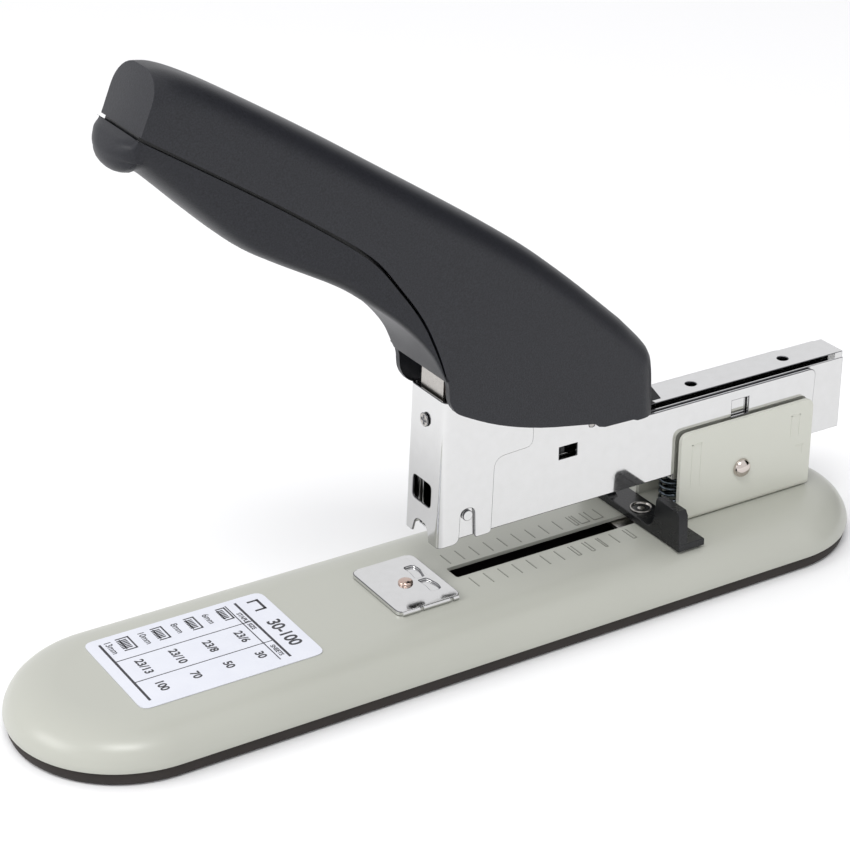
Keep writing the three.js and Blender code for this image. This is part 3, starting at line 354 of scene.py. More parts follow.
HEAVY, FINE = 0.75, 0.34
TABLE_RIGHT, TABLE_FOOT, HEADINGS_FOOT, TABLE_HEAD = 35.6, 3.4, 43.0, 45.9
bm = bmesh.new()
printed_bar(bm, 3.0, TABLE_RIGHT, TABLE_FOOT, TABLE_FOOT + HEAVY)
printed_bar(bm, 2.2, TABLE_RIGHT, TABLE_HEAD, TABLE_HEAD + HEAVY)
printed_bar(bm, 2.2, TABLE_RIGHT, HEADINGS_FOOT, HEADINGS_FOOT + FINE)
for u in (13.2, 25.4):
    printed_bar(bm, u, u + FINE, TABLE_FOOT + 0.6, TABLE_HEAD)
# each leg length, at its height in the table, has a staple pictogram: crown, legs and a stack between
LEGS = [(6, 37.4), (8, 27.6), (10, 17.6), (13, 7.4)]
for leg, v in LEGS:
    tall = 1.5 + 0.16 * leg
    printed_bar(bm, 2.5, 9.5, v + 4.8, v + 5.3)
    for u in (2.5, 9.0):
        printed_bar(bm, u, u + 0.5, v + 4.8 - tall, v + 5.3)
    for u in [3.6 + 0.84 * k for k in range(6)]:
        printed_bar(bm, u, u + 0.52, v + 4.2 - tall * 0.85, v + 4.2)
    printed_bar(bm, 3.3, 8.7, v + 3.1 - tall * 0.3, v + 3.5 - tall * 0.3)
# a plain staple outline stands in the head of the table
printed_bar(bm, 3.4, 9.4, 52.2, 53.0)
for u in (3.4, 8.6):
    printed_bar(bm, u, u + 0.8, 49.4, 53.0)
place_piece("label_rules", bm, ink, "base", "label_film")


def printed_text(text, size, u, v, weight):
    """Printed text as a flat mesh, centred on (u, v), its strokes thickened by weight."""
    letters = bpy.data.curves.new("figures", "FONT")
    letters.body = text
    letters.size = size * MM
    letters.align_x = "CENTER"
    letters.align_y = "CENTER"
    letters.extrude = 0.01 * MM
    letters.offset = weight * MM
    holder = bpy.data.objects.new("figures", letters)
    bpy.context.collection.objects.link(holder)
    bpy.context.view_layer.update()
    mesh = bpy.data.meshes.new_from_object(holder.evaluated_get(bpy.context.evaluated_depsgraph_get()))
    bpy.data.objects.remove(holder)
    place = Vector(((LABEL_LOW_X + v) * MM, (LABEL_LEFT_Y - u) * MM, INK_Z * MM))
    mesh.transform(Matrix.Translation(place) @ Matrix.Rotation(-math.pi / 2, 4, "Z"))
    return mesh


SHEETS = {6: 30, 8: 50, 10: 70, 13: 100}
bm = bmesh.new()
for leg, v in LEGS:
    bm.from_mesh(printed_text(f"{leg}mm", 2.8, 6.0, v - 1.4, 0.04))
    bm.from_mesh(printed_text(f"23/{leg}", 3.5, 19.4, v + 2.2, 0.11))
    bm.from_mesh(printed_text(f"{SHEETS[leg]}", 3.5, 30.6, v + 2.2, 0.11))
for text, size, u, up, weight in (("STAPLE SIZE", 1.9, 12.6, 44.6, 0.06), ("SHEETS", 1.9, 30.8, 44.6, 0.06),
                                  ("30-100", 5.4, 23.4, 50.8, 0.14)):
    bm.from_mesh(printed_text(text, size, u, up, weight))
place_piece("label_figures", bm, ink, "base", "label_film")

# ---- anvil -----------------------------------------------------------------------------------
# The clinching plate: pressed steel with two pockets that fold the staple's legs, rolled edges and a
# bright nickel plate. A copper-washed rivet with a flat head holds it to the base.
nickel, tree, shader, where = new_finish("bright_nickel_plate")
# polished sheet under the plate waves gently over some 14 mm, and handling leaves a haze 3 mm across
ripple = add_node(tree, "ShaderNodeTexNoise", [("Vector", where), ("Scale", 1 / 14 / MM), ("Detail", 1)])
haze = add_node(tree, "ShaderNodeTexNoise", [("Vector", where), ("Scale", 1 / 3 / MM), ("Detail", 5)])
tone = add_node(tree, "ShaderNodeMix", [
    ("Factor", haze.outputs["Fac"]), (6, srgb("#d5d5d4")), (7, srgb("#dddddd"))], data_type="RGBA")
gloss = add_node(tree, "ShaderNodeMapRange", [
    ("Value", haze.outputs["Fac"]), ("From Min", 0.3), ("From Max", 0.7), ("To Min", 0.05), ("To Max", 0.11)])
relief = add_node(tree, "ShaderNodeBump", [
    ("Height", ripple.outputs["Fac"]), ("Strength", 0.06), ("Distance", 1 * MM)])
tree.links.new(tone.outputs[2], shader.inputs["Base Color"])
tree.links.new(gloss.outputs["Result"], shader.inputs["Roughness"])
tree.links.new(relief.outputs["Normal"], shader.inputs["Normal"])
shader.inputs["Metallic"].default_value = 1


def merged_copy(node):
    """A frame solid's mesh with its loose triangles joined and its flat faces made whole."""
    bm = bmesh.new()
    bm.from_mesh(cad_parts[node].data)
    bmesh.ops.remove_doubles(bm, verts=bm.verts, dist=0.002 * MM)
    bmesh.ops.dissolve_limit(bm, angle_limit=math.radians(0.6), use_dissolve_boundaries=False,
                             verts=bm.verts, edges=bm.edges)
    return bm


def soften(piece, width, rim=None):
    """Breaks a piece's sharp edges, as deburring does; rim is the bare metal that this leaves, drawn dark as
    painted shade.
    """
    edge = piece.modifiers.new("broken_edge", "BEVEL")
    edge.width = width * MM
    edge.segments = 2
    edge.limit_method = "ANGLE"
    edge.angle_limit = math.radians(35)
    edge.use_clamp_overlap = rim is None
    edge.harden_normals = True
    if rim:
        piece.data.materials.append(rim)
        edge.material = 1


def sheet_piece(node, material, body, slot, edge, rim=None, bm=None):
    """A piece that takes a frame solid's place with softened edges; bm is its mesh if that was altered."""
    piece = place_piece(node + "_piece", bm or merged_copy(node), material, body, slot, node)
    soften(piece, edge, rim)
    return piece


# the cut edges are bare of plate: dull steel with burrs about 0.3 mm apart, its grey drawn darker as painted
# shade for the shadow line along each edge
edge_steel_painted_shade, tree, shader, where = new_finish("sheared_steel_edge_painted_shade")
burrs = add_node(tree, "ShaderNodeTexNoise", [("Vector", where), ("Scale", 1 / 0.3 / MM), ("Detail", 2)])
tone = add_node(tree, "ShaderNodeMix", [
    ("Factor", burrs.outputs["Fac"]), (6, srgb("#55555a")), (7, srgb("#88888b"))], data_type="RGBA")
tree.links.new(tone.outputs[2], shader.inputs["Base Color"])
shader.inputs["Roughness"].default_value = 0.45
shader.inputs["Metallic"].default_value = 1

sheet_piece("anvil_plate", nickel, "base", "bright_nickel", 0.22, edge_steel_painted_shade)
# the long edges are rolled under, with two reliefs snipped in the near roll
ROLL_RADIUS, ROLL_Z = 0.72, 15.28
TURN_UPRIGHT_TO = {"X": Matrix.Rotation(math.pi / 2, 3, "Y"), "Y": Matrix.Rotation(-math.pi / 2, 3, "X"),
                   "Z": Matrix.Identity(3)}
bm = bmesh.new()
for y, spans in ((-13.75, ((-26.2, -20.6), (-19.4, -10.6), (-9.4, -7.6))), (13.75, ((-25.2, -8.6),))):
    for x0, x1 in spans:
        rolled_edge = bmesh.ops.create_cone(bm, cap_ends=True, segments=20, radius1=ROLL_RADIUS * MM,
                                            radius2=ROLL_RADIUS * MM, depth=(x1 - x0) * MM)["verts"]
        bmesh.ops.rotate(bm, verts=rolled_edge, matrix=TURN_UPRIGHT_TO["X"])
        bmesh.ops.translate(bm, verts=rolled_edge, vec=((x0 + x1) / 2 * MM, y * MM, ROLL_Z * MM))
place_piece("anvil_rolls", bm, nickel, "base", "bright_nickel")

copper, tree, shader, where = new_finish("copper_washed_steel")
# the wash is thin: patches about 1 mm across run from steel grey to rose
wash = add_node(tree, "ShaderNodeTexNoise", [("Vector", where), ("Scale", 1 / 1.0 / MM), ("Detail", 3)])
tone = add_node(tree, "ShaderNodeMix", [
    ("Factor", wash.outputs["Fac"]), (6, srgb("#b9a094")), (7, srgb("#cfbdb3"))], data_type="RGBA")
gloss = add_node(tree, "ShaderNodeMapRange", [
    ("Value", wash.outputs["Fac"]), ("To Min", 0.08), ("To Max", 0.2)])
tree.links.new(tone.outputs[2], shader.inputs["Base Color"])
tree.links.new(gloss.outputs["Result"], shader.inputs["Roughness"])
shader.inputs["Metallic"].default_value = 1


def turned(profile, place, axis="Z", steps=48):
    """A profile of (radius, height) spun about an axis through place; it starts and ends on the axis."""
    bm = bmesh.new()
    verts = [bm.verts.new((r * MM, 0, h * MM)) for r, h in profile]
    line = [bm.edges.new(pair) for pair in zip(verts, verts[1:])]
    bmesh.ops.spin(bm, geom=verts + line, cent=(0, 0, 0), axis=(0, 0, 1), angle=2 * math.pi, steps=steps,
                   use_merge=True)
    bmesh.ops.remove_doubles(bm, verts=bm.verts, dist=0.005 * MM)
    bmesh.ops.recalc_face_normals(bm, faces=bm.faces)
    bmesh.ops.rotate(bm, verts=bm.verts, matrix=TURN_UPRIGHT_TO[axis])
    bmesh.ops.translate(bm, verts=bm.verts, vec=[c * MM for c in place])
    return bm


ANVIL_X = -16.9
ANVIL_RIVET = [(0, 12.6), (2.4, 12.6), (2.4, 13.3), (1.75, 13.35), (1.75, 15.96), (2.15, 15.98),
               (2.22, 16.15), (2.16, 16.5), (1.95, 16.75), (1.5, 16.95), (0.8, 17.05), (0, 17.08)]
place_piece("anvil_rivet_piece", turned(ANVIL_RIVET, (ANVIL_X, 0, 0)), copper, "base", "bright_nickel",
            "anvil_rivet", smooth=50)

# ---- rear bracket ----------------------------------------------------------------------------
# A folded U of 1.4 mm steel in the base's enamel, its colour a shade lighter than the base's: painted light
# for the brighter lighting on its upright sides.
# It is riveted down, its ears carry the hinge rivet, and a shallow outline and a nick are pressed in
# each ear.
# the bracket's enamel is a lighter copy of the base's: painted light
bracket_enamel_painted_lighter = recoloured(enamel, "stove_enamel_putty_painted_lighter", "#c5c6bc", "#cbccc2")
sheet_piece("rear_bracket", bracket_enamel_painted_lighter, "base", "putty_paint", 0.35)
BRACKET_OUT, PRESSED = 10.75, 0.34


def ear_line(bm, side, x0, x1, z0, z1):
    """A pressed line on the bracket's ear."""
    line = bmesh.ops.create_cube(bm, size=1)["verts"]
    bmesh.ops.scale(bm, vec=((x1 - x0) * MM, 0.16 * MM, (z1 - z0) * MM), verts=line)
    bmesh.ops.translate(bm, verts=line, vec=((x0 + x1) / 2 * MM, side * BRACKET_OUT * MM, (z0 + z1) / 2 * MM))


bm = bmesh.new()
for side in (-1, 1):
    # a long outline at the front of the ear and a short one at its rear, open at their feet
    for x, foot in ((77.2, 26.0), (80.6, 26.0), (115.4, 33.0), (118.6, 33.0)):
        ear_line(bm, side, x, x + PRESSED, foot, 40.4)
    for x in (77.2, 115.4):
        ear_line(bm, side, x, x + 3.6, 40.1, 40.1 + PRESSED)
    # the lanced nick
    ear_line(bm, side, 118.0, 121.6, 29.4, 29.4 + PRESSED)
    ear_line(bm, side, 120.4, 120.4 + PRESSED, 26.6, 29.6)
place_piece("bracket_pressings", bm, bracket_enamel_painted_lighter, "base", "putty_paint")

# ---- rivets, washers and hinge ---------------------------------------------------------------
# Plain steel fixings: flat-headed rivets through the bracket's foot, and one long domed rivet on
# which the arm turns, polished so that it mirrors the room.
steel, tree, shader, where = new_finish("zinc_plated_steel")
# zinc crystals about 0.8 mm across, and rolling lines 0.2 mm apart along the sheet
crystals = add_node(tree, "ShaderNodeTexNoise", [("Vector", where), ("Scale", 1 / 0.8 / MM), ("Detail", 4)])
lines = add_node(tree, "ShaderNodeMapping", [("Vector", where), ("Scale", (0.02, 1, 1))])
rolled = add_node(tree, "ShaderNodeTexNoise", [("Vector", lines.outputs["Vector"]), ("Scale", 1 / 0.2 / MM)])
tone = add_node(tree, "ShaderNodeMix", [
    ("Factor", crystals.outputs["Fac"]), (6, srgb("#a9a6a2")), (7, srgb("#c4c0bb"))], data_type="RGBA")
gloss = add_node(tree, "ShaderNodeMapRange", [
    ("Value", crystals.outputs["Fac"]), ("To Min", 0.22), ("To Max", 0.38)])
relief = add_node(tree, "ShaderNodeBump", [
    ("Height", rolled.outputs["Fac"]), ("Strength", 0.15), ("Distance", 0.02 * MM)])
tree.links.new(tone.outputs[2], shader.inputs["Base Color"])
tree.links.new(gloss.outputs["Result"], shader.inputs["Roughness"])
tree.links.new(relief.outputs["Normal"], shader.inputs["Normal"])
shader.inputs["Metallic"].default_value = 1

FOOT_RIVET = [(0, 12.6), (2.9, 12.6), (2.9, 13.3), (1.75, 13.35), (1.75, 15.98), (2.85, 16.0), (2.9, 16.3),
              (2.6, 16.6), (2.0, 16.85), (0, 16.93)]
for number, (x, y) in enumerate(((115.9, -5.5), (115.9, 5.5), (89.1, -5.5), (89.1, 5.5)), start=1):
    place_piece(f"bracket_rivet_{number}_piece", turned(FOOT_RIVET, (x, y, 0), steps=32), steel, "base",
                "plain_steel", f"bracket_rivet_{number}", smooth=50)
HINGE = (96.6, 0, 27.8)
DOME = [(2.0, 10.82), (3.0, 10.8), (3.02, 11.0), (2.94, 11.5), (2.72, 11.95), (2.35, 12.35), (1.85, 12.7),
        (1.25, 12.92), (0.6, 13.04), (0, 13.07)]
# polished brass under a thin nickel plate: a mirror with a faint warm cast in 1 mm patches
bright_rivet = recoloured(copper, "polished_nickel_brass", "#c9bdb6", "#d6cec9")
bright_rivet.node_tree.nodes["Map Range"].inputs["To Min"].default_value = 0.03
bright_rivet.node_tree.nodes["Map Range"].inputs["To Max"].default_value = 0.07
place_piece("hinge_rivet_piece", turned([(r, -h) for r, h in reversed(DOME)] + DOME, HINGE, "Y"),
            bright_rivet, "base", "bright_nickel", "hinge_rivet", smooth=60)
for washer in ("hinge_washer_near", "hinge_washer_far"):
    sheet_piece(washer, steel, "base", "plain_steel", 0.05)

# ---- springs ---------------------------------------------------------------------------------
# Coils of oil-blackened spring wire: one lifts the arm, one pushes the staples forward on its rod,
# and one sits round the handle's pivot.
spring_wire, tree, shader, where = new_finish("oil_tempered_spring_wire")
# the temper leaves blue-grey blotches about 2 mm long on a dark drawn skin
temper = add_node(tree, "ShaderNodeTexNoise", [("Vector", where), ("Scale", 1 / 2 / MM), ("Detail", 3)])
tone = add_node(tree, "ShaderNodeMix", [
    ("Factor", temper.outputs["Fac"]), (6, srgb("#3c444b")), (7, srgb("#7c878f"))], data_type="RGBA")
gloss = add_node(tree, "ShaderNodeMapRange", [
    ("Value", temper.outputs["Fac"]), ("To Min", 0.15), ("To Max", 0.32)])
tree.links.new(tone.outputs[2], shader.inputs["Base Color"])
tree.links.new(gloss.outputs["Result"], shader.inputs["Roughness"])
shader.inputs["Metallic"].default_value = 1


def coil(start, axis, radius, length, turns, wire, around=28):
    """A coil of round wire from start along axis, closed at both ends."""
    bm = bmesh.new()
    ring = bmesh.ops.create_circle(bm, cap_ends=False, segments=12, radius=wire * MM)["verts"]
    bmesh.ops.rotate(bm, verts=ring, matrix=Matrix.Rotation(math.pi / 2, 3, "X"))
    bmesh.ops.translate(bm, verts=ring, vec=(radius * MM, 0, 0))
    steps = int(turns * around)
    bmesh.ops.spin(bm, geom=ring + list(bm.edges), cent=(0, 0, 0), axis=(0, 0, 1), angle=turns * 2 * math.pi,
                   dvec=(0, 0, length / steps * MM), steps=steps)
    bmesh.ops.holes_fill(bm, edges=bm.edges, sides=12)
    bmesh.ops.recalc_face_normals(bm, faces=bm.faces)
    bmesh.ops.rotate(bm, verts=bm.verts, matrix=TURN_UPRIGHT_TO[axis])
    bmesh.ops.translate(bm, verts=bm.verts, vec=[c * MM for c in start])
    return bm


LIFT_X, LIFT_FOOT = 79.3, 16.2
lift_coil = place_piece("lift_spring_coil", coil((LIFT_X, 0, LIFT_FOOT + 0.55), "Z", 4.1, 11.45, 5.5, 0.55),
                        spring_wire, "base", "spring_steel", "lift_spring", smooth=80)
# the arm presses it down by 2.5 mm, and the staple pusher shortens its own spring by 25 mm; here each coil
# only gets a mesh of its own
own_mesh(lift_coil)
ROD_Z, ROD_REAR = 50.5, 124.3
pusher_coil = place_piece("pusher_spring_coil", coil((43.6, 0, ROD_Z), "X", 2.1, 80.4, 26, 0.3, 20),
                          spring_wire, "magazine", "spring_steel", "pusher_spring", smooth=80)
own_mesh(pusher_coil)
place_piece("return_spring_coil", coil((50, -5.2, 63), "Y", 3.65, 10.4, 7, 0.6, 24), spring_wire, "handle",
            "spring_steel", "return_spring", smooth=80)

# ---- paper guide -----------------------------------------------------------------------------
# One moulding of glossy black nylon: a cross strip with an upright fin at each side, clamped to its
# slider under the base by a bright eyelet. The fins meet the strip in a hollow curve.
nylon, tree, shader, where = new_finish("moulded_nylon_black")
# flow marks about 5 mm long and a 0.4 mm tool grain
flow = add_node(tree, "ShaderNodeTexNoise", [("Vector", where), ("Scale", 1 / 5 / MM), ("Detail", 2)])
grain = add_node(tree, "ShaderNodeTexNoise", [("Vector", where), ("Scale", 1 / 0.4 / MM), ("Detail", 2)])
tone = add_node(tree, "ShaderNodeMix", [
    ("Factor", flow.outputs["Fac"]), (6, srgb("#0e0f10")), (7, srgb("#16171a"))], data_type="RGBA")
gloss = add_node(tree, "ShaderNodeMapRange", [
    ("Value", flow.outputs["Fac"]), ("To Min", 0.2), ("To Max", 0.34)])
relief = add_node(tree, "ShaderNodeBump", [
    ("Height", grain.outputs["Fac"]), ("Strength", 0.06), ("Distance", 0.03 * MM)])
tree.links.new(tone.outputs[2], shader.inputs["Base Color"])
tree.links.new(gloss.outputs["Result"], shader.inputs["Roughness"])
tree.links.new(relief.outputs["Normal"], shader.inputs["Normal"])
shader.inputs["Specular IOR Level"].default_value = 0.38

GUIDE_FRONT, GUIDE_REAR, GUIDE_HALF = 62.4, 72.0, 25.4
STRIP_LOW, STRIP_TOP, FIN_TOP, FIN_THICK = 14.75, 17.05, 27.75, 3.4
HOLLOW_Y, HOLLOW_WIDE, HOLLOW_TALL = 9.6, 3.2, 6.2
EYELET_X = 67.2


def extruded(bm, outline, vec):
    """A prism: an outline's face pulled along vec. Its outline may be given in any plane."""
    face = bm.faces.new([bm.verts.new([c * MM for c in point]) for point in outline])
    pulled = [g for g in bmesh.ops.extrude_face_region(bm, geom=[face])["geom"]
              if isinstance(g, bmesh.types.BMVert)]
    bmesh.ops.translate(bm, verts=pulled, vec=[c * MM for c in vec])
    bmesh.ops.recalc_face_normals(bm, faces=bm.faces)


bm = bmesh.new()
extruded(bm, [(x, y, STRIP_LOW) for x, y in ((GUIDE_FRONT, -GUIDE_HALF), (GUIDE_REAR, -GUIDE_HALF),
                                             (GUIDE_REAR, GUIDE_HALF), (GUIDE_FRONT, GUIDE_HALF))],
         (0, 0, STRIP_TOP - STRIP_LOW))
# each fin's inner edge comes down to the strip in a quarter of an ellipse
hollow = [(HOLLOW_Y + HOLLOW_WIDE * math.sin(a), STRIP_TOP + 0.02 + HOLLOW_TALL * (1 - math.cos(a)))
          for a in [k * math.pi / 16 for k in range(9)]]
fin = [(GUIDE_HALF - 0.05, STRIP_LOW + 0.3), (GUIDE_HALF - 0.6, FIN_TOP - 1.6), (GUIDE_HALF - 1.6, FIN_TOP),
       (13.4, FIN_TOP), *reversed(hollow), (HOLLOW_Y, STRIP_LOW + 0.3)]
for side in (-1, 1):
    extruded(bm, [(GUIDE_FRONT + 0.01, side * y, z) for y, z in fin], (FIN_THICK, 0, 0))
guide = place_piece("guide_moulding", bm, nylon, "guide", "black_plastic", "paper_guide")
soften(guide, 0.28)
EYELET = [(0, 17.2), (0.8, 17.15), (1.6, 16.9), (2.2, 16.5), (2.55, 16.4), (2.8, 16.95), (2.95, 17.45),
          (3.15, 17.58), (3.38, 17.5), (3.45, 17.25), (3.2, 17.08), (2.45, 17.0), (2.45, 11.9),
          (3.15, 11.8), (3.1, 11.5), (0, 11.5)]
place_piece("guide_eyelet_ring", turned(EYELET, (EYELET_X, 0, 0)), steel, "guide", "bright_nickel",
            "guide_eyelet", smooth=50)
sheet_piece("guide_slider", steel, "guide", "plain_steel", 0.15)

# ---- arm frame and front casing --------------------------------------------------------------
# The arm is a U of 0.9 mm steel, polished and nickelled like a mirror. The casing wraps round its
# front end, drops over two studs and is held by one cross-head screw.
sheet_piece("arm_frame", nickel, "arm", "bright_nickel", 0.22, edge_steel_painted_shade)
# the casing's face is drawn darker than its sides, as painted shade for the darker reflection in it: a mask
# along X, over its bend
nickel_face_painted_shade = nickel.copy()
nickel_face_painted_shade.name = "bright_nickel_plate_face_painted_shade"
tree = nickel_face_painted_shade.node_tree
where = tree.nodes["Texture Coordinate"].outputs["Object"]
depth = add_node(tree, "ShaderNodeSeparateXYZ", [("Vector", where)])
mask = add_node(tree, "ShaderNodeMapRange", [
    ("Value", depth.outputs["X"]), ("From Min", -11.0 * MM), ("From Max", -9.6 * MM),
    ("To Min", 0.75), ("To Max", 1.0)], interpolation_type="SMOOTHSTEP")
face_shaded = add_node(tree, "ShaderNodeVectorMath", [
    (0, tree.nodes["Mix"].outputs[2]), ("Scale", mask.outputs["Result"])], operation="SCALE")
tree.links.new(face_shaded.outputs["Vector"], tree.nodes["Principled BSDF"].inputs["Base Color"])
sheet_piece("front_casing", nickel_face_painted_shade, "arm", "bright_nickel", 0.22, edge_steel_painted_shade)
# the screw is driven home, so its head stands less than its own depth off the face
screw = merged_copy("casing_screw")
centre = sum((v.co for v in screw.verts), Vector()) / len(screw.verts)
bmesh.ops.scale(screw, vec=(0.5, 0.84, 0.84), space=Matrix.Translation(-centre), verts=screw.verts)
sheet_piece("casing_screw", steel, "arm", "plain_steel", 0.2, edge_steel_painted_shade, screw)
for stud in ("casing_stud_near", "casing_stud_far"):
    sheet_piece(stud, nickel, "arm", "bright_nickel", 0.2, edge_steel_painted_shade)
for pin in ("handle_pivot_pin", "spring_bar"):
    sheet_piece(pin, steel, "arm", "plain_steel", 0.1)

# ---- magazine --------------------------------------------------------------------------------
# Channel, rail and cover are folded from thin bright-plated sheet. The staples are glued in a strip
# and are pushed forward by a nylon block on a rod.
def score(bm, faces, place, normal):
    """Cuts faces of bm along the line where a plane crosses them."""
    geom = faces + list({e for f in faces for e in f.edges}) + list({v for f in faces for v in f.verts})
    bmesh.ops.bisect_plane(bm, geom=geom, dist=0.001 * MM, plane_co=Vector(place) * MM, plane_no=normal)


channel = merged_copy("magazine_channel")
# the channel's walls are pierced behind the arm's front window, so that the staples can be seen
PANE_FRONT, PANE_REAR, PANE_LOW, PANE_TOP = 29.2, 38.4, 45.8, 51.8
for place, normal in (((PANE_FRONT, 0, 0), (1, 0, 0)), ((PANE_REAR, 0, 0), (1, 0, 0)),
                      ((0, 0, PANE_LOW), (0, 0, 1)), ((0, 0, PANE_TOP), (0, 0, 1))):
    score(channel, [f for f in channel.faces if abs(f.normal.y) > 0.99
                    and abs(f.calc_center_median().y) > 5 * MM], place, normal)
panes = [f for f in channel.faces if abs(f.normal.y) > 0.99
         and PANE_FRONT * MM < f.calc_center_median().x < PANE_REAR * MM
         and PANE_LOW * MM < f.calc_center_median().z < PANE_TOP * MM]
bmesh.ops.delete(channel, geom=panes, context="FACES")
for side in (-1, 1):
    lips = [e for e in channel.edges if e.is_boundary and side * e.verts[0].co.y > 0]
    bmesh.ops.bridge_loops(channel, edges=lips)
sheet_piece("magazine_channel", nickel, "magazine", "bright_nickel", 0.14, edge_steel_painted_shade, channel)
sheet_piece("staple_rail", nickel, "magazine", "bright_nickel", 0.16)
sheet_piece("magazine_cover", nickel, "magazine", "bright_nickel", 0.25, edge_steel_painted_shade)
for node, material, slot in (("pusher_rod", steel, "plain_steel"), ("rod_block", nylon, "black_plastic")):
    sheet_piece(node, material, "magazine", slot, 0.15)
sheet_piece("staple_pusher", nylon, "pusher", "black_plastic", 0.25)

glued_wire, tree, shader, where = new_finish("glued_galvanised_wire")
# 0.6 mm wires side by side: a groove each 0.6 mm along the strip, and the colour darkens in each groove as
#                            painted shade
wires = add_node(tree, "ShaderNodeTexWave", [
    ("Vector", where), ("Scale", 1 / 0.6 / MM / 20), ("Distortion", 0)], bands_direction="X")
tone = add_node(tree, "ShaderNodeMix", [
    ("Factor", wires.outputs["Fac"]), (6, srgb("#6d6c6a")), (7, srgb("#cfcdca"))], data_type="RGBA")
relief = add_node(tree, "ShaderNodeBump", [
    ("Height", wires.outputs["Fac"]), ("Strength", 0.6), ("Distance", 0.15 * MM)])
tree.links.new(tone.outputs[2], shader.inputs["Base Color"])
tree.links.new(relief.outputs["Normal"], shader.inputs["Normal"])
shader.inputs["Metallic"].default_value = 1
shader.inputs["Roughness"].default_value = 0.3
sheet_piece("staple_strip", glued_wire, "magazine", "bright_nickel", 0.1)

# ---- driver ----------------------------------------------------------------------------------
# A hardened blade behind the casing's face, and the folded carrier that the handle's pin works in.
sheet_piece("driver_blade", steel, "driver", "plain_steel", 0.08)
sheet_piece("driver_head", steel, "driver", "plain_steel", 0.15)

# ---- lever and its pins ----------------------------------------------------------------------
# The steel fork inside the plastic grip carries the load from the hand to the pivot and the driver.
# A flash of copper under its zinc shows as a warm cast in 0.8 mm crystals.
lever_steel = recoloured(steel, "cold_rolled_steel_flash_coppered", "#a3948b", "#baaca3")
sheet_piece("handle_lever", lever_steel, "handle", "bright_nickel", 0.15)
sheet_piece("drive_pin", copper, "handle", "plain_steel", 0.2)
for screw in ("handle_screw_1", "handle_screw_2"):
    sheet_piece(screw, steel, "handle", "plain_steel", 0.1)

# ---- handle ----------------------------------------------------------------------------------
# Two ABS mouldings clamped round the lever: a long cover with rounded shoulders and a flat end, and a
# lower grip that swells at its tip. Both have the fine matt skin of a spark-eroded mould.
abs_plastic, tree, shader, where = new_finish("spark_eroded_abs_charcoal")
# spark pits are about 0.1 mm across, drawn at 0.45 mm so that they show, with 30 mm drifts of gloss
pits = add_node(tree, "ShaderNodeTexNoise", [("Vector", where), ("Scale", 1 / 0.45 / MM), ("Detail", 2)])
drift = add_node(tree, "ShaderNodeTexNoise", [("Vector", where), ("Scale", 1 / 30 / MM), ("Detail", 1)])
tone = add_node(tree, "ShaderNodeMix", [
    ("Factor", pits.outputs["Fac"]), (6, srgb("#0f1012")), (7, srgb("#2d2e34"))], data_type="RGBA")
gloss = add_node(tree, "ShaderNodeMapRange", [
    ("Value", drift.outputs["Fac"]), ("To Min", 0.36), ("To Max", 0.44)])
relief = add_node(tree, "ShaderNodeBump", [
    ("Height", pits.outputs["Fac"]), ("Strength", 0.7), ("Distance", 0.06 * MM)])
tree.links.new(tone.outputs[2], shader.inputs["Base Color"])
tree.links.new(gloss.outputs["Result"], shader.inputs["Roughness"])
tree.links.new(relief.outputs["Normal"], shader.inputs["Normal"])
shader.inputs["Specular IOR Level"].default_value = 0.33

HANDLE_HALF, TIP_HALF = 14.3, 11.5
TIP_X, SKIRT_X = -97.9, -11.8
COVER_WALL, GRIP_WALL = 2.0, 1.6


def eased(points, steps=6):
    """A smooth line through the points, with that many steps to each span."""
    ends = [2 * points[0] - points[1], *points, 2 * points[-1] - points[-2]]
    line = []
    for a, b, c, d in zip(ends, ends[1:], ends[2:], ends[3:]):
        for t in (k / steps for k in range(steps)):
            line.append(0.5 * (2 * b + (c - a) * t + (2 * a - 5 * b + 4 * c - d) * t * t
                               + (3 * b - a - 3 * c + d) * t ** 3))
    return line + [points[-1]]


def handle_half(x):
    """Half the handle's width: it narrows from the skirt to the tip."""
    share = min(max((x - TIP_X) / (SKIRT_X - TIP_X), 0), 1)
    return TIP_HALF + (HANDLE_HALF - TIP_HALF) * share


def follow(made, before, targets):
    """Moves an extruded row of points into place; returns its edges and its points in order."""
    fresh = {v for v in made if isinstance(v, bmesh.types.BMVert)}
    order = [next(e.other_vert(v) for e in v.link_edges if e.other_vert(v) in fresh) for v in before]
    for v, co in zip(order, targets):
        v.co = co
    edges = [g for g in made if isinstance(g, bmesh.types.BMEdge) and all(v in fresh for v in g.verts)]
    return edges, order


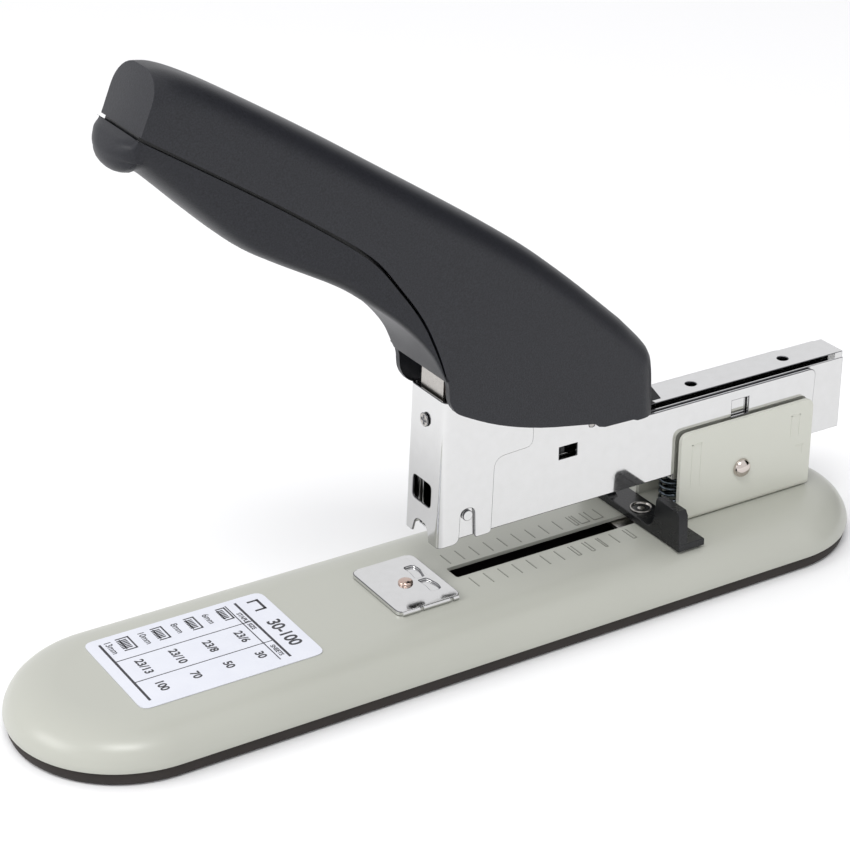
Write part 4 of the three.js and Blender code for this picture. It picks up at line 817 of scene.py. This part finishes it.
def rounded_half(bm, edge_line, radii, side_line, outward, rows=8):
    """The near half of a moulding: a flat side up to side_line, rolled over along edge_line to the
    middle. Each radius is (how far the roll reaches down the side, how far in from it)."""
    last = len(edge_line) - 1
    for k in range(rows + 1):
        angle = k / rows * math.pi / 2
        row = []
        for i, point in enumerate(edge_line):
            along = edge_line[min(i + 1, last)] - edge_line[max(i - 1, 0)]
            normal = Vector((-along.y, along.x)).normalized() * outward
            down, inward = radii[i]
            seat = point - normal * down * (1 - math.sin(angle))
            y = -(handle_half(point.x) - inward * (1 - math.cos(angle)))
            row.append(Vector((seat.x, y, seat.y)) * MM)
        if k == 0:
            flat = verts = [bm.verts.new(co) for co in row]
            flat_edges = edges = [bm.edges.new(pair) for pair in zip(verts, verts[1:])]
        else:
            made = bmesh.ops.extrude_edge_only(bm, edges=edges)["geom"]
            edges, verts = follow(made, verts, row)
    made = bmesh.ops.extrude_edge_only(bm, edges=edges)["geom"]
    follow(made, verts, [Vector((v.co.x, 0, v.co.z)) for v in verts])
    # the flat side is filled between the roll's first row and the side line
    side = [bm.verts.new((p.x * MM, -handle_half(p.x) * MM, p.y * MM)) for p in side_line]
    chain = [flat[0], *side, flat[-1]]
    below = [bm.edges.new(pair) for pair in zip(chain, chain[1:])]
    bmesh.ops.triangle_fill(bm, use_beauty=True, use_dissolve=False, edges=flat_edges + below)
    bmesh.ops.mirror(bm, geom=bm.verts[:] + bm.edges[:] + bm.faces[:], matrix=Matrix.Identity(4), axis="Y",
                     merge_dist=0)
    bmesh.ops.remove_doubles(bm, verts=bm.verts, dist=0.01 * MM)
    bmesh.ops.recalc_face_normals(bm, faces=bm.faces)


def points(*pairs):
    """Points of an outline, each given as (x, z)."""
    return [Vector(pair) for pair in pairs]


# the cover's outline: its top from the tip over to the back, the parting line, the skirt and its foot
top = eased(points((-101, 183.2), (-96.5, 183.6), (-92.6, 183.6), (-86.7, 182.5), (-77, 177.8),
                   (-62.4, 169.0), (-45, 158.0), (-27.5, 146.4), (10.5, 120.8), (30.6, 105.0),
                   (51.4, 86.3)))[:-1]
top += eased(points((51.4, 86.3), (58.4, 78.9), (61.0, 75.0), (61.8, 70.5), (61.8, 63), (61.6, 56)), 4)
parting = eased(points((-102.5, 172.2), (-97.9, 169.2), (-74.7, 154), (-54, 140), (-35.2, 125.9),
                       (-25.6, 114), (-19, 103.9), (-14.4, 93.1), (-11.6, 83.6), (-11.2, 80)), 5)
skirt = eased(points((-11.2, 80), (-10.9, 77.8), (-9.6, 75.2), (-6.8, 72.8), (5.2, 67), (19.5, 62.5),
                     (38.2, 58.9)), 4)
foot = points((39.8, 57.6), (42, 57.0), (52, 56.8), (53.5, 56.2))

ROLL_DOWN, ROLL_IN, TIP_ROLL_DOWN, TIP_ROLL_IN = 8.2, 10.5, 7.6, 8.8
BACK_TOP = 80


def cover_roll(point):
    """The top's roll at a point: it grows away from the tip and tightens again down the back."""
    if point.y <= BACK_TOP:
        below = BACK_TOP - point.y
        return ROLL_DOWN - 0.06 * below, ROLL_IN - 0.17 * below
    share = min(max((point.x + 80) / 35, 0), 1)
    return TIP_ROLL_DOWN + (ROLL_DOWN - TIP_ROLL_DOWN) * share, TIP_ROLL_IN + (ROLL_IN - TIP_ROLL_IN) * share


bm = bmesh.new()
rounded_half(bm, top, [cover_roll(p) for p in top], parting + skirt[1:] + foot, 1)
# the end is cut off flat, closed, and its edge is softened
facet_at = Vector((-97.8, 0, 169.2)) * MM
facet_out = Vector((-0.9195, 0, 0.393))
bmesh.ops.bisect_plane(bm, geom=bm.verts[:] + bm.edges[:] + bm.faces[:], dist=0.001 * MM,
                       plane_co=facet_at, plane_no=facet_out, clear_outer=True, clear_inner=False)
bmesh.ops.remove_doubles(bm, verts=bm.verts, dist=0.02 * MM)
arch = [e for e in bm.edges if e.is_boundary
        and all(abs((v.co - facet_at).dot(facet_out)) < 0.01 * MM for v in e.verts)]
corners = [min((v for e in arch for v in e.verts if side * v.co.y > 0), key=lambda v: v.co.z)
           for side in (-1, 1)]
sill = bm.edges.new(corners)
bmesh.ops.contextual_create(bm, geom=arch + [sill])
bmesh.ops.bevel(bm, geom=arch, offset=0.9 * MM, offset_type="OFFSET", affect="EDGES", segments=4,
                profile=0.5, material=-1, clamp_overlap=True)
bmesh.ops.recalc_face_normals(bm, faces=bm.faces)
# an opening in the back lets the spacer's tail out
BACK_X, TAIL_HALF, TAIL_TOP = 60, 6.1, 68.3
for place, normal in (((0, -TAIL_HALF, 0), (0, 1, 0)), ((0, TAIL_HALF, 0), (0, 1, 0)),
                      ((0, 0, TAIL_TOP), (0, 0, 1))):
    score(bm, [f for f in bm.faces if f.calc_center_median().x > BACK_X * MM], place, normal)
tail_faces = [f for f in bm.faces if abs(f.calc_center_median().y) < TAIL_HALF * MM
              and f.calc_center_median().x > BACK_X * MM and f.calc_center_median().z < TAIL_TOP * MM]
bmesh.ops.delete(bm, geom=tail_faces, context="FACES")
if max(bm.faces, key=lambda f: f.calc_center_median().z).normal.z < 0:
    bmesh.ops.reverse_faces(bm, faces=bm.faces)
cover = place_piece("handle_cover", bm, abs_plastic, "handle", "charcoal_plastic", "handle_upper", smooth=38)
wall = cover.modifiers.new("wall", "SOLIDIFY")
wall.thickness = COVER_WALL * MM
wall.offset = -1
wall.use_rim_only = True

# the lower grip, a hair's gap below the cover, opening to a millimetre at the tip
seam = eased(points((-98.3, 168.4), (-96.2, 166.9), (-75.1, 153.2), (-54.6, 139.3), (-35.9, 125.2),
                    (-26.3, 113.5), (-19.7, 103.5), (-15.2, 93.3), (-12.4, 85.2)), 5)
under = eased(points((-98.7, 168.6), (-101.6, 167.3), (-103.5, 164.2), (-103.6, 161.4), (-102.2, 159.1),
                     (-99.6, 158.1), (-97.0, 158.0), (-92.9, 154.8), (-81.7, 143.8), (-70.7, 133.7),
                     (-60.6, 127.2), (-43.1, 117.3), (-34.1, 110.7), (-24.2, 102.2), (-16.4, 92.9),
                     (-12.1, 84.2)), 5)


def grip_roll(share):
    """The underside's roll at a share of the way from the tip: round in the bulb, tight at the throat."""
    if share < 0.4:
        swell = min(share / 0.16, 1)
        return 0.6 + 5.6 * swell, 5.0 + 6.0 * swell
    if share < 0.75:
        slim = (share - 0.4) / 0.35
        return 6.2 - 2.6 * slim, 11.0 - 4.0 * slim
    fade = (1 - share) / 0.25
    return 0.15 + 3.45 * fade ** 1.5, 0.8 + 6.2 * fade


bm = bmesh.new()
rounded_half(bm, under, [grip_roll(i / (len(under) - 1)) for i in range(len(under))], seam, -1)
if min(bm.faces, key=lambda f: f.calc_center_median().z).normal.z > 0:
    bmesh.ops.reverse_faces(bm, faces=bm.faces)
# the palm polishes the cover, and the lower half stays a little duller
grip_plastic = abs_plastic.copy()
grip_plastic.name = "spark_eroded_abs_charcoal_dull"
grip_plastic.node_tree.nodes["Principled BSDF"].inputs["Specular IOR Level"].default_value = 0.25
grip = place_piece("handle_grip", bm, grip_plastic, "handle", "charcoal_plastic", "handle_lower", smooth=38)
wall = grip.modifiers.new("wall", "SOLIDIFY")
wall.thickness = GRIP_WALL * MM
wall.offset = -1
wall.use_rim_only = True

# a tongue round the grip's edge locates the cover and closes the seam to the light
TONGUE_HALF = 9.6
bm = bmesh.new()
guided = seam[4:-6]
tongue = [(p.x + 0.6, p.y + 1.4) for p in guided] + [(p.x - 0.6, p.y - 1.4) for p in reversed(guided)]
extruded(bm, [(x, -TONGUE_HALF, z) for x, z in tongue], (0, 2 * TONGUE_HALF, 0))
place_piece("grip_tongue", bm, nylon, "handle", "charcoal_plastic")

# ---- rear spacer -----------------------------------------------------------------------------
# A black nylon plug between the lever's walls; its tail closes the slot in the back of the cover.
SPACER_REAR, TAIL = 65.0, 2.6
spacer = merged_copy("rear_spacer")
# the tail is drawn out through the slot, clear of the cover's back
tail = [v for v in spacer.verts if v.co.x > SPACER_REAR * MM]
bmesh.ops.translate(spacer, verts=tail, vec=(TAIL * MM, 0, 0))
sheet_piece("rear_spacer", nylon, "handle", "black_plastic", 0.25, bm=spacer)
